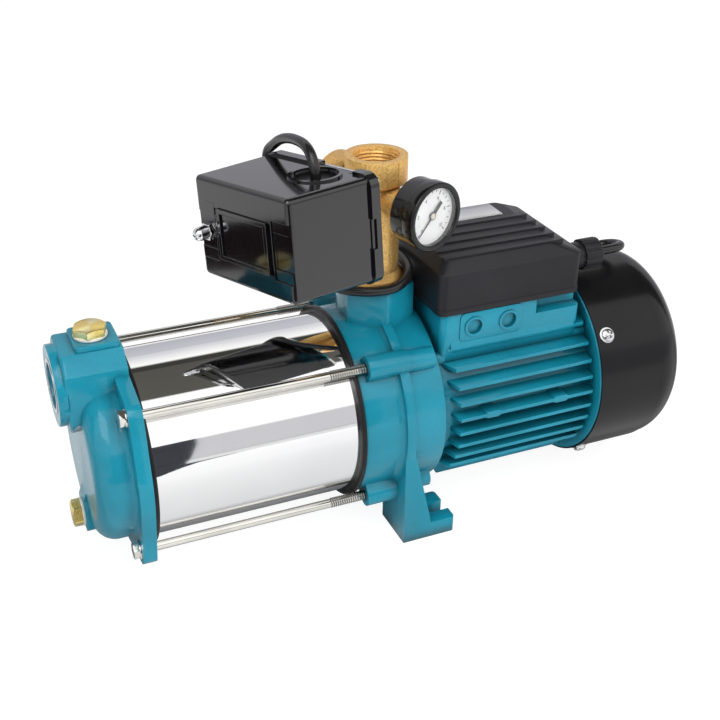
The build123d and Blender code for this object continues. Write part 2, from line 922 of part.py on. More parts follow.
def impeller_wheel(start_x):
    """A closed impeller: two shrouds with curved blades between them, a neck and a long hub."""
    front_x = start_x + impeller_front
    back_x = front_x + shroud_thickness + blade_height
    with BuildPart() as wheel:
        with BuildSketch(across(front_x)):
            Circle(impeller_r)
            Circle(eye_r - 2, mode=Mode.SUBTRACT)
        extrude(amount=shroud_thickness)
        with BuildSketch(across(start_x + stage_wall / 2)):
            Circle(eye_r - eye_gap)
            Circle(eye_r - 2, mode=Mode.SUBTRACT)
        extrude(amount=impeller_front - stage_wall / 2 + shroud_thickness)
        with BuildSketch(across(back_x)):
            Circle(impeller_r)
        extrude(amount=shroud_thickness)
        with BuildSketch(across(front_x + shroud_thickness)):
            for n in range(blade_count):
                with BuildLine():
                    blade_turn = 360 / blade_count * n
                    inner = tuple(Vector(hub_r + 3, 0).rotate(Axis.Z, blade_turn))[:2]
                    outer = tuple(Vector(impeller_r - 1, 0).rotate(Axis.Z, blade_turn + blade_sweep))[:2]
                    RadiusArc(inner, outer, blade_curve)
                trace(line_width=blade_thickness)
        extrude(amount=blade_height)
        with BuildSketch(across(start_x)):
            Circle(hub_r)
        extrude(amount=stage_pitch)
        with BuildSketch(across(start_x)):
            Circle(impeller_shaft_r + seat_gap)
        extrude(amount=stage_pitch, mode=Mode.SUBTRACT)
    return wheel.part


for n in range(stage_count):
    with BuildPart() as diffuser:
        add(stage_casing(stack_start_x + n * stage_pitch))
    diffuser.part.label = f"diffuser_{n + 1}"
    export_step(diffuser.part, f"parts/diffuser_{n + 1}.step")
    with BuildPart() as impeller:
        add(impeller_wheel(stack_start_x + n * stage_pitch))
    impeller.part.label = f"impeller_{n + 1}"
    export_step(impeller.part, f"parts/impeller_{n + 1}.step")

# Shaft in six steps, from the impeller nut to the fan
nut_start_x = stack_start_x - impeller_nut_height
shaft_start_x = nut_start_x - shaft_end_spare
rotor_step_x = front_bearing_x + front_bearing_width
with BuildPart() as shaft:
    add(
        turned(
            (shaft_start_x, 0),
            (shaft_start_x, impeller_shaft_r),
            (stack_end_x, impeller_shaft_r),
            (stack_end_x, seal_shaft_r),
            (front_bearing_x, seal_shaft_r),
            (front_bearing_x, front_journal_r),
            (rotor_step_x, front_journal_r),
            (rotor_step_x, rotor_shaft_r),
            (rear_bearing_x, rotor_shaft_r),
            (rear_bearing_x, rear_journal_r),
            (rear_bearing_end_x, rear_journal_r),
            (rear_bearing_end_x, fan_shaft_r),
            (fan_end_x + shaft_end_spare, fan_shaft_r),
            (fan_end_x + shaft_end_spare, 0),
        )
    )
    chamfer(shaft.faces().sort_by(Axis.X)[-1].edges(), 1)
shaft.part.label = "shaft"
export_step(shaft.part, "parts/shaft.step")

with BuildPart() as impeller_nut:
    with BuildSketch(across(nut_start_x)):
        RegularPolygon(impeller_nut_flats / 2, 6, major_radius=False)
        Circle(impeller_shaft_r + seat_gap, mode=Mode.SUBTRACT)
    extrude(amount=impeller_nut_height)
impeller_nut.part.label = "impeller_nut"
export_step(impeller_nut.part, "parts/impeller_nut.step")

# Mechanical seal: the fixed ring in the bracket and the sprung head that turns with the shaft
seal_seat_x = seal_wall_x - seal_seat_thickness / 2
with BuildPart() as seal_seat:
    add(tube(seal_seat_x, seal_seat_x + seal_seat_thickness, seal_shaft_r + 1, seal_seat_r))
seal_seat.part.label = "seal_seat"
export_step(seal_seat.part, "parts/seal_seat.step")

head_start_x = seal_seat_x - seal_head_length - free_gap
head_end_x = seal_seat_x - running_gap
with BuildPart() as seal_head:
    add(
        turned(
            (head_start_x, seal_shaft_r + seat_gap),
            (head_start_x, seal_collar_r),
            (head_start_x + seal_collar_thickness, seal_collar_r),
            (head_start_x + seal_collar_thickness, seal_head_r - 2),
            (head_end_x - seal_collar_thickness, seal_head_r - 2),
            (head_end_x - seal_collar_thickness, seal_head_r),
            (head_end_x, seal_head_r),
            (head_end_x, seal_shaft_r + seat_gap),
        )
    )
seal_head.part.label = "seal_head"
export_step(seal_head.part, "parts/seal_head.step")


def bearing_pieces(start_x, width, outer_r, bore_r, ball_r):
    """Outer ring, inner ring and the ball set of a deep groove bearing."""
    pitch_r = (outer_r + bore_r) / 2
    ring_wall = (outer_r - bore_r) * ring_share
    groove_r = ball_r + running_gap
    middle = start_x + width / 2
    groove_plane = Plane(origin=(middle, 0, shaft_height + pitch_r), x_dir=(1, 0, 0), z_dir=(0, -1, 0))
    with BuildPart() as outer_ring:
        add(tube(start_x, start_x + width, outer_r - ring_wall, outer_r))
        with BuildSketch(groove_plane):
            Circle(groove_r)
        revolve(axis=shaft_axis, mode=Mode.SUBTRACT)
    with BuildPart() as inner_ring:
        add(tube(start_x, start_x + width, bore_r, bore_r + ring_wall))
        with BuildSketch(groove_plane):
            Circle(groove_r)
        revolve(axis=shaft_axis, mode=Mode.SUBTRACT)
    cage_start = middle - cage_depth / 2
    cage_inner_r = pitch_r - cage_thickness / 2
    with BuildPart() as ball_set:
        add(tube(cage_start, cage_start + cage_depth, cage_inner_r, cage_inner_r + cage_thickness))
        for n in range(bearing_ball_count):
            turn = radians(360 / bearing_ball_count * n)
            with Locations((middle, pitch_r * cos(turn), shaft_height + pitch_r * sin(turn))):
                Sphere(ball_r)
    return outer_ring.part, inner_ring.part, ball_set.part


front_pieces = bearing_pieces(
    front_bearing_x, front_bearing_width, front_bearing_r, front_journal_r, front_ball_r
)
rear_pieces = bearing_pieces(
    rear_bearing_x, rear_bearing_width, rear_bearing_r, rear_journal_r, rear_ball_r
)
for place, pieces in (("front", front_pieces), ("rear", rear_pieces)):
    for kind, piece in zip(("outer", "inner", "balls"), pieces):
        with BuildPart() as bearing_piece:
            add(piece)
        bearing_piece.part.label = f"{place}_bearing_{kind}"
        export_step(bearing_piece.part, f"parts/{place}_bearing_{kind}.step")

# Motor housing: finned body with bolt channels and the base that the terminal cover closes
with BuildPart() as motor_housing:
    with BuildSketch(across(motor_start_x)):
        Circle(motor_body_r)
        for turn in (45, 135):
            SlotCenterToCenter(motor_bolt_place * 2 * sqrt(2), 2 * ridge_r, rotation=turn)
    extrude(amount=motor_length)
    for n in range(side_fin_count):
        height = side_fin_top - n * fin_pitch
        tip = sqrt(fin_r**2 - height**2)
        with BuildSketch(level(height - fin_thickness / 2)):
            Polygon(
                (motor_start_x + fin_start, -fin_root),
                (motor_start_x + fin_start + fin_front_slope, -tip),
                (motor_end_x - fin_rear_slope, -tip),
                (motor_end_x, -fin_root),
                (motor_end_x, fin_root),
                (motor_end_x - fin_rear_slope, tip),
                (motor_start_x + fin_start + fin_front_slope, tip),
                (motor_start_x + fin_start, fin_root),
                align=None,
            )
        extrude(amount=fin_thickness)
    for n in range(bottom_fin_count):
        offset_y = (n - (bottom_fin_count - 1) / 2) * fin_pitch
        tip = sqrt(fin_r**2 - offset_y**2)
        with BuildSketch(Plane.XZ.offset(offset_y - fin_thickness / 2)):
            Polygon(
                (motor_start_x + fin_start, shaft_height - fin_root),
                (motor_start_x + fin_start + fin_front_slope, shaft_height - tip),
                (motor_end_x - fin_rear_slope, shaft_height - tip),
                (motor_end_x, shaft_height - fin_root),
                align=None,
            )
        extrude(amount=fin_thickness)
    pad_level = side_fin_top - fin_pad_fin * fin_pitch
    with BuildSketch(Plane.XZ.offset(fin_root)):
        for place in fin_pad_places:
            with Locations((place, shaft_height + pad_level)):
                SlotOverall(fin_pad_length, fin_pad_height)
    extrude(amount=sqrt(fin_r**2 - pad_level**2) - fin_root)
    with BuildSketch(level(base_bottom)):
        with Locations(((base_start_x + base_end_x) / 2, 0)):
            RectangleRounded(base_end_x - base_start_x, 2 * base_half_width, base_corner)
    extrude(amount=base_top - base_bottom)
    # Sloped foot of the base's side walls, down to the uppermost fins
    ledge_y = sqrt(fin_r**2 - side_fin_top**2)
    ledge_height = side_fin_top + fin_thickness / 2
    with BuildSketch(across(motor_start_x + fin_start + fin_front_slope)):
        for side in (-1, 1):
            Polygon(
                (side * (base_half_width - 1), ledge_height - 1),
                (side * ledge_y, ledge_height - 1),
                (side * ledge_y, ledge_height),
                (side * base_half_width, ledge_height + base_foot_rise),
                (side * (base_half_width - 1), ledge_height + base_foot_rise),
                align=None,
            )
    extrude(amount=base_end_x - base_corner - motor_start_x - fin_start - fin_front_slope)
    # Raised pad and knock-outs on the near side of the base
    with BuildSketch(Plane.XZ.offset(base_half_width)):
        with Locations((sum(knockout_places) / 2, shaft_height + knockout_height)):
            RectangleRounded(knockout_pad_width, knockout_pad_height, 4)
    extrude(amount=knockout_pad_step)
    with BuildSketch(Plane.XZ.offset(base_half_width)):
        for place in knockout_places:
            with Locations((place, shaft_height + knockout_height)):
                Circle(knockout_r)
    extrude(amount=knockout_pad_step + knockout_step)
    with BuildSketch(Plane.XZ.offset(base_half_width - knockout_recess)):
        for place in knockout_places:
            with Locations((place, shaft_height + knockout_height)):
                Circle(knockout_r - knockout_wall)
    extrude(amount=knockout_recess + knockout_pad_step + knockout_step + 1, mode=Mode.SUBTRACT)
    # Hollows
    with BuildSketch(across(motor_start_x)):
        Circle(motor_cavity_r)
        with Locations(*motor_bolt_places):
            Circle(motor_bolt_r + free_gap)
    extrude(amount=motor_length, mode=Mode.SUBTRACT)
    chamber_half = base_half_width - base_wall
    with BuildSketch(level(base_floor)):
        with Locations(((base_start_x + pocket_start) / 2, 0)):
            Rectangle(pocket_start - base_start_x - 2 * base_wall, 2 * chamber_half)
        with Locations(((base_start_x + base_end_x) / 2, pocket_depth / 2)):
            Rectangle(base_end_x - base_start_x - 2 * base_wall, 2 * chamber_half - pocket_depth)
    extrude(amount=base_top - base_floor, mode=Mode.SUBTRACT)
    with BuildSketch(level(pocket_floor)):
        with Locations(((pocket_start + pocket_end) / 2, -base_half_width)):
            Rectangle(pocket_end - pocket_start, 2 * pocket_depth)
    extrude(amount=base_top - pocket_floor, mode=Mode.SUBTRACT)
    with BuildSketch(level(motor_cavity_r - 4)):
        with Locations((core_start + core_length + winding_length / 2, 0)):
            Circle(wire_hole_r / 2)
    extrude(amount=base_floor - motor_cavity_r + 5, mode=Mode.SUBTRACT)
motor_housing.part.label = "motor_housing"
export_step(motor_housing.part, "parts/motor_housing.step")

# Stator: slotted core, and the coil ends that stand out of both of its faces
stator_bore_r = rotor_r + air_gap
with BuildPart() as stator_core:
    with BuildSketch(across(core_start)):
        Circle(motor_cavity_r - seat_gap)
        Circle(stator_bore_r, mode=Mode.SUBTRACT)
        with PolarLocations(stator_bore_r + slot_lip + slot_depth / 2, slot_count):
            Rectangle(slot_depth, slot_width, mode=Mode.SUBTRACT)
    extrude(amount=core_length)
stator_core.part.label = "stator_core"
export_step(stator_core.part, "parts/stator_core.step")

with BuildPart() as stator_windings:
    for coil_x in (core_start - winding_length, core_start + core_length):
        with BuildSketch(profile_plane):
            with Locations((coil_x + winding_length / 2, (winding_inner_r + winding_outer_r) / 2)):
                RectangleRounded(winding_length, winding_outer_r - winding_inner_r, winding_corner)
        revolve(axis=shaft_axis)
stator_windings.part.label = "stator_windings"
export_step(stator_windings.part, "parts/stator_windings.step")

with BuildPart() as rotor_core:
    add(tube(core_start, core_start + core_length, rotor_shaft_r, rotor_r))
    ring_inner = rotor_r - 9
    for ring_x in (core_start - 6, core_start + core_length):
        with BuildSketch(across(ring_x)):
            Circle(rotor_r - 2)
            Circle(ring_inner, mode=Mode.SUBTRACT)
        extrude(amount=6)
rotor_core.part.label = "rotor_core"
export_step(rotor_core.part, "parts/rotor_core.step")

# Rear end shield with the rear bearing's pocket and a rim for the fan cover
with BuildPart() as rear_end_shield:
    add(
        turned(
            (motor_end_x, shield_hub_r),
            (motor_end_x, shield_r),
            (motor_end_x + shield_rim_length, shield_r),
            (motor_end_x + shield_rim_length, shield_r - shield_rim_wall),
            (shield_end_x, shield_r - shield_rim_wall),
            (shield_end_x, fan_shaft_r + 1),
            (rear_bearing_end_x, fan_shaft_r + 1),
            (rear_bearing_end_x, rear_bearing_r + seat_gap),
            (rear_bearing_x - bearing_lip, rear_bearing_r + seat_gap),
            (rear_bearing_x - bearing_lip, shield_hub_r),
        )
    )
    with BuildSketch(across(motor_end_x)):
        with Locations(*motor_bolt_places):
            Circle(motor_bolt_r + free_gap)
    extrude(amount=shield_plate, mode=Mode.SUBTRACT)
    for n in range(cover_screw_count):
        turn = cover_screw_angle + 360 / cover_screw_count * n
        outward = (0, -cos(radians(turn)), sin(radians(turn)))
        screw_plane = Plane(origin=(cover_screw_x, 0, shaft_height), x_dir=(1, 0, 0), z_dir=outward)
        with BuildSketch(screw_plane.offset(shield_r - shield_rim_wall - 2)):
            Circle(cover_screw_r + seat_gap)
        extrude(amount=shield_rim_wall + 4, mode=Mode.SUBTRACT)
rear_end_shield.part.label = "rear_end_shield"
export_step(rear_end_shield.part, "parts/rear_end_shield.step")

# Long bolts through the motor
bolt_start_x = bracket_end_x - motor_bolt_grip
with BuildPart() as motor_bolts:
    with BuildSketch(across(bolt_start_x)):
        with Locations(*motor_bolt_places):
            Circle(motor_bolt_r)
    extrude(amount=shield_end_x - bolt_start_x)
    with BuildSketch(across(shield_end_x)):
        with Locations(*motor_bolt_places):
            RegularPolygon(bolt_head_flats / 2, 6, major_radius=False)
    extrude(amount=bolt_head_height)
motor_bolts.part.label = "motor_bolts"
export_step(motor_bolts.part, "parts/motor_bolts.step")

# Cooling fan: hub, back disc and straight blades
with BuildPart() as cooling_fan:
    with BuildSketch(across(fan_start_x)):
        Circle(fan_hub_r)
    extrude(amount=fan_depth)
    with BuildSketch(across(fan_start_x)):
        Circle(fan_r)
    extrude(amount=fan_disc)
    with BuildSketch(across(fan_start_x)):
        with PolarLocations((fan_r + fan_hub_r - 1) / 2, fan_blade_count):
            Rectangle(fan_r - fan_hub_r + 1, fan_blade_thickness)
    extrude(amount=fan_depth - 1)
    with BuildSketch(across(fan_start_x)):
        Circle(fan_shaft_r + seat_gap)
    extrude(amount=fan_depth, mode=Mode.SUBTRACT)
cooling_fan.part.label = "cooling_fan"
export_step(cooling_fan.part, "parts/cooling_fan.step")

# Fan cover: thin turned shell with a crease, a rounded shoulder and slots in its rear face
with BuildPart() as fan_cover:
    wall = fan_cover_wall
    with BuildSketch(profile_plane):
        with BuildLine():
            Polyline(
                (fan_cover_crease_x, fan_cover_crease_r),
                (fan_cover_crease_x - 0.8, fan_cover_r),
                (fan_cover_front_x, fan_cover_r),
                (fan_cover_front_x, fan_cover_r - wall),
                (fan_cover_crease_x - 1.2, fan_cover_r - wall),
            )
            ThreePointArc(
                (fan_cover_crease_x - 1.2, fan_cover_r - wall),
                (fan_cover_bulge_x - wall * 0.7, fan_cover_bulge_r - wall * 0.7),
                (fan_cover_end_x - wall, fan_cover_face_r - 1),
            )
            Polyline(
                (fan_cover_end_x - wall, fan_cover_face_r - 1),
                (fan_cover_end_x - wall, 0),
                (fan_cover_end_x, 0),
                (fan_cover_end_x, fan_cover_face_r),
            )
            ThreePointArc(
                (fan_cover_end_x, fan_cover_face_r),
                (fan_cover_bulge_x, fan_cover_bulge_r),
                (fan_cover_crease_x, fan_cover_crease_r),
            )
        make_face()
    revolve(axis=shaft_axis)
    with BuildSketch(across(fan_cover_end_x - 2 * wall)):
        with PolarLocations(inner_slot_start + inner_slot_length / 2, inner_slot_count):
            SlotOverall(inner_slot_length, grille_slot_width)
        with PolarLocations(outer_slot_start + outer_slot_length / 2, outer_slot_count):
            SlotOverall(outer_slot_length, grille_slot_width)
    extrude(amount=3 * wall, mode=Mode.SUBTRACT)
    for n in range(cover_screw_count):
        turn = cover_screw_angle + 360 / cover_screw_count * n
        outward = (0, -cos(radians(turn)), sin(radians(turn)))
        screw_plane = Plane(origin=(cover_screw_x, 0, shaft_height), x_dir=(1, 0, 0), z_dir=outward)
        with BuildSketch(screw_plane.offset(fan_cover_r - 2 * wall)):
            Circle(cover_screw_r + seat_gap)
        extrude(amount=3 * wall, mode=Mode.SUBTRACT)
fan_cover.part.label = "fan_cover"
export_step(fan_cover.part, "parts/fan_cover.step")

with BuildPart() as fan_cover_screws:
    for n in range(cover_screw_count):
        turn = cover_screw_angle + 360 / cover_screw_count * n
        outward = (0, -cos(radians(turn)), sin(radians(turn)))
        screw_plane = Plane(origin=(cover_screw_x, 0, shaft_height), x_dir=(1, 0, 0), z_dir=outward)
        with BuildSketch(screw_plane.offset(fan_cover_r)):
            Circle(cover_screw_head_r)
        extrude(amount=cover_screw_head)
        with BuildSketch(screw_plane.offset(fan_cover_r)):
            Circle(cover_screw_r)
        extrude(amount=-(fan_cover_r - shield_r + shield_rim_wall))
fan_cover_screws.part.label = "fan_cover_screws"
export_step(fan_cover_screws.part, "parts/fan_cover_screws.step")

# Terminal cover: straight sides, sloped shoulders, and a stepped top
cover_length = cover_end_x - cover_start_x
cover_middle_x = (cover_start_x + cover_end_x) / 2
inner_length = cover_length - 2 * cover_wall
inner_width = 2 * (cover_half_width - cover_wall)
inner_corner = cover_corner - cover_wall
plateau_length = plateau_end - plateau_start
plateau_middle_x = (plateau_start + plateau_end) / 2
with BuildPart() as terminal_cover:
    with BuildSketch(level(base_top)):
        with Locations((cover_middle_x, 0)):
            RectangleRounded(cover_length, 2 * cover_half_width, cover_corner)
    extrude(amount=cover_side_top - base_top)
    with BuildSketch(level(base_top)):
        with Locations((cover_middle_x, 0)):
            RectangleRounded(
                cover_length + 2 * cover_lip_step, 2 * (cover_half_width + cover_lip_step), cover_corner
            )
    extrude(amount=cover_lip_height)
    with BuildSketch(level(cover_side_top)):
        with Locations((cover_middle_x, 0)):
            RectangleRounded(cover_length, 2 * cover_half_width, cover_corner)
    with BuildSketch(level(cover_top)):
        with Locations((plateau_middle_x, 0)):
            RectangleRounded(plateau_length, 2 * plateau_half_width, cover_corner)
    loft()
    for place in step_places:
        with BuildSketch(Plane.YZ.offset(plateau_start)):
            Polygon(
                (place, shaft_height + cover_top - step_depth),
                (place, shaft_height + cover_top + step_height),
                (place + step_width, shaft_height + cover_top),
                (place + step_width, shaft_height + cover_top - step_depth),
                align=None,
            )
        extrude(amount=plateau_length + step_run_out)
    with BuildSketch(level(base_top)):
        with Locations((cover_middle_x, 0)):
            RectangleRounded(inner_length, inner_width, inner_corner)
    extrude(amount=cover_side_top - base_top, mode=Mode.SUBTRACT)
    with BuildSketch(level(cover_side_top)):
        with Locations((cover_middle_x, 0)):
            RectangleRounded(inner_length, inner_width, inner_corner)
    with BuildSketch(level(cover_top - cover_wall)):
        with Locations((plateau_middle_x, 0)):
            RectangleRounded(
                plateau_length - 2 * cover_wall, 2 * (plateau_half_width - cover_wall), inner_corner
            )
    loft(mode=Mode.SUBTRACT)
    with BuildSketch(across(cover_end_x - 2 * cover_wall)):
        with Locations((gland_y, gland_height)):
            Circle(gland_sleeve_r + seat_gap)
    extrude(amount=3 * cover_wall, mode=Mode.SUBTRACT)
terminal_cover.part.label = "terminal_cover"
export_step(terminal_cover.part, "parts/terminal_cover.step")

with BuildPart() as rating_plate:
    with BuildSketch(level(cover_top)):
        with Locations((plate_x, plate_y)):
            RectangleRounded(plate_length, plate_width, plate_corner)
    extrude(amount=plate_thickness)
rating_plate.part.label = "rating_plate"
export_step(rating_plate.part, "parts/rating_plate.step")

# Run capacitor and terminal block on the floor of the base
capacitor_z = base_floor + capacitor_r
with BuildPart() as capacitor:
    with BuildSketch(across(capacitor_x)):
        with Locations((capacitor_y, capacitor_z)):
            Circle(capacitor_r)
    extrude(amount=capacitor_length)
    fillet(capacitor.faces().sort_by(Axis.X)[0].edges(), 2)
    with BuildSketch(across(capacitor_x + capacitor_length)):
        with Locations((capacitor_y, capacitor_z)):
            Circle(capacitor_stud_r)
    extrude(amount=capacitor_stud_length)
capacitor.part.label = "capacitor"
export_step(capacitor.part, "parts/capacitor.step")

with BuildPart() as terminal_block:
    with BuildSketch(level(base_floor)):
        with Locations((block_x, block_y)):
            Rectangle(block_length, block_width)
    extrude(amount=block_height)
    pole_pitch = block_length / block_poles
    with BuildSketch(level(base_floor + block_height)):
        for n in range(block_poles):
            with Locations((block_x + (n - (block_poles - 1) / 2) * pole_pitch, block_y)):
                Rectangle(pole_pitch - 3, block_width / 2)
    extrude(amount=-block_slot_depth, mode=Mode.SUBTRACT)
terminal_block.part.label = "terminal_block"
export_step(terminal_block.part, "parts/terminal_block.step")

# Cable gland in the end wall of the terminal cover
nut_x = cover_end_x + gland_collar_length
with BuildPart() as motor_gland:
    with BuildSketch(across(cover_end_x)):
        with Locations((gland_y, gland_height)):
            Circle(gland_collar_r)
    extrude(amount=gland_collar_length)
    with BuildSketch(across(cover_end_x - gland_tail)):
        with Locations((gland_y, gland_height)):
            Circle(gland_sleeve_r)
    extrude(amount=gland_tail + gland_collar_length + gland_nut_length - 4)
    with BuildSketch(across(gland_end_x - 4)):
        with Locations((gland_y, gland_height)):
            Circle(gland_insert_r)
    extrude(amount=4)
motor_gland.part.label = "motor_gland"
export_step(motor_gland.part, "parts/motor_gland.step")

with BuildPart() as motor_gland_nut:
    with BuildSketch(across(nut_x)):
        with Locations((gland_y, gland_height)):
            Circle(gland_nut_r)
            with PolarLocations(gland_nut_r + gland_flute_r / 3, gland_nut_flutes):
                Circle(gland_flute_r, mode=Mode.SUBTRACT)
    extrude(amount=gland_nut_length)
    chamfer(motor_gland_nut.faces().sort_by(Axis.X)[-1].edges().filter_by(GeomType.CIRCLE), plug_chamfer)
    with BuildSketch(across(nut_x)):
        with Locations((gland_y, gland_height)):
            Circle(gland_sleeve_r + seat_gap)
    extrude(amount=gland_nut_length - 4, mode=Mode.SUBTRACT)
    with BuildSketch(across(nut_x)):
        with Locations((gland_y, gland_height)):
            Circle(gland_insert_r + seat_gap)
    extrude(amount=gland_nut_length, mode=Mode.SUBTRACT)
motor_gland_nut.part.label = "motor_gland_nut"
export_step(motor_gland_nut.part, "parts/motor_gland_nut.step")

# Brass manifold: delivery socket on top, third port, and small ports for the gauge and the switch
manifold_top_z = shaft_height + manifold_top
socket_z = manifold_top_z - manifold_socket_height
upright = Plane(origin=(boss_x, 0, 0), x_dir=(1, 0, 0), z_dir=(0, -1, 0))
upright_axis = Axis((boss_x, 0, 0), (0, 0, 1))
with BuildPart() as manifold:
    with BuildSketch(upright):
        Polygon(
            (0, boss_top_z - boss_thread_depth + 2),
            (g1_major_r, boss_top_z - boss_thread_depth + 2),
            (g1_major_r, boss_top_z),
            (manifold_flare_r, boss_top_z),
            (manifold_flare_r, boss_top_z + manifold_flare_height),
            (manifold_tube_r, boss_top_z + manifold_flare_height + 4),
            (manifold_tube_r, socket_z - 3),
            (manifold_socket_r - manifold_bead, socket_z),
            (manifold_socket_r, socket_z + 1),
            (manifold_socket_r, manifold_top_z),
            (0, manifold_top_z),
            align=None,
        )
    revolve(axis=upright_axis)
    with BuildSketch(on_side_port(0)):
        Circle(manifold_tube_r)
    extrude(amount=side_port_reach)
    with BuildSketch(on_side_port(side_port_reach - side_socket_length)):
        Circle(manifold_socket_r)
    extrude(amount=side_socket_length)
    with BuildSketch(on_gauge(0)):
        Circle(small_boss_r)
    extrude(amount=small_boss_reach)
    with BuildSketch(on_switch_port(0)):
        Circle(small_boss_r)
    extrude(amount=small_boss_reach)
    with BuildSketch(Plane(origin=(boss_x, 0, boss_top_z - boss_thread_depth))):
        Circle(manifold_bore_r)
    extrude(amount=manifold_top_z - boss_top_z + boss_thread_depth, mode=Mode.SUBTRACT)
    with BuildSketch(Plane(origin=(boss_x, 0, manifold_top_z))):
        Circle(g1_minor_r)
    extrude(amount=-g1_depth, mode=Mode.SUBTRACT)
    with BuildSketch(on_side_port(0)):
        Circle(manifold_bore_r)
    extrude(amount=side_port_reach, mode=Mode.SUBTRACT)
    with BuildSketch(on_side_port(side_port_reach - side_socket_length + 3)):
        Circle(g1_minor_r)
    extrude(amount=side_socket_length - 3, mode=Mode.SUBTRACT)
    for small_port in (on_gauge, on_switch_port):
        with BuildSketch(small_port(0)):
            Circle(small_passage_r)
        extrude(amount=small_boss_reach, mode=Mode.SUBTRACT)
        with BuildSketch(small_port(small_boss_reach - small_bore_depth)):
            Circle(small_bore_r)
        extrude(amount=small_bore_depth, mode=Mode.SUBTRACT)
manifold.part.label = "manifold"
export_step(manifold.part, "parts/manifold.step")

# Pressure gauge: stem, case, dial, needle, lens and bezel
with BuildPart() as gauge_stem:
    with BuildSketch(on_gauge(small_boss_reach)):
        RegularPolygon(stem_flats / 2, 6, major_radius=False, rotation=30)
    extrude(amount=gauge_back - small_boss_reach)
    with BuildSketch(on_gauge(small_boss_reach)):
        Circle(small_bore_r - thread_gap)
    extrude(amount=-(small_bore_depth - 1))
gauge_stem.part.label = "gauge_stem"
export_step(gauge_stem.part, "parts/gauge_stem.step")

with BuildPart() as gauge_case:
    with BuildSketch(on_gauge(gauge_back)):
        Circle(gauge_r)
    extrude(amount=gauge_depth)
    with BuildSketch(on_gauge(gauge_back + gauge_seam_place)):
        Circle(gauge_seam_r)
    extrude(amount=gauge_seam_width)
    with BuildSketch(on_gauge(dial_place - dial_thickness)):
        Circle(gauge_r - gauge_wall)
    extrude(amount=gauge_depth, mode=Mode.SUBTRACT)
    with BuildSketch(on_gauge(gauge_back + gauge_wall)):
        Circle(dial_r - 3)
    extrude(amount=gauge_depth, mode=Mode.SUBTRACT)
gauge_case.part.label = "gauge_case"
export_step(gauge_case.part, "parts/gauge_case.step")

with BuildPart() as gauge_dial:
    with BuildSketch(on_gauge(dial_place)):
        Circle(dial_r)
        Circle(spindle_r + running_gap, mode=Mode.SUBTRACT)
    extrude(amount=-dial_thickness)
gauge_dial.part.label = "gauge_dial"
export_step(gauge_dial.part, "parts/gauge_dial.step")

needle_x = cos(radians(needle_rest_angle))
needle_y = sin(radians(needle_rest_angle))
with BuildPart() as gauge_needle:
    with BuildSketch(on_gauge(dial_place + needle_float)):
        Circle(needle_hub_r)
        Polygon(
            (needle_length * needle_x, needle_length * needle_y),
            (needle_width * needle_y, -needle_width * needle_x),
            (-needle_width * needle_y, needle_width * needle_x),
            align=None,
        )
        with Locations((-needle_tail / 2 * needle_x, -needle_tail / 2 * needle_y)):
            Rectangle(needle_tail, needle_tail_width, rotation=needle_rest_angle)
    extrude(amount=needle_thickness)
    with BuildSketch(on_gauge(gauge_back + gauge_wall)):
        Circle(spindle_r)
    extrude(amount=dial_place + needle_float - gauge_back - gauge_wall + 1.5)
gauge_needle.part.label = "gauge_needle"
export_step(gauge_needle.part, "parts/gauge_needle.step")

lens_back = gauge_back + gauge_depth
with BuildPart() as gauge_lens:
    with BuildSketch(on_gauge(lens_back)):
        Circle(gauge_r - free_gap)
    extrude(amount=lens_thickness)
gauge_lens.part.label = "gauge_lens"
export_step(gauge_lens.part, "parts/gauge_lens.step")

with BuildPart() as gauge_bezel:
    with BuildSketch(on_gauge(bezel_face - bezel_length)):
        Circle(bezel_r)
    extrude(amount=bezel_length)
    with BuildSketch(on_gauge(bezel_face - bezel_length)):
        Circle(gauge_r + seat_gap)
    extrude(amount=lens_back + lens_thickness - bezel_face + bezel_length, mode=Mode.SUBTRACT)
    with BuildSketch(on_gauge(bezel_face - bezel_length)):
        Circle(bezel_window_r)
    extrude(amount=bezel_length, mode=Mode.SUBTRACT)
gauge_bezel.part.label = "gauge_bezel"
export_step(gauge_bezel.part, "parts/gauge_bezel.step")

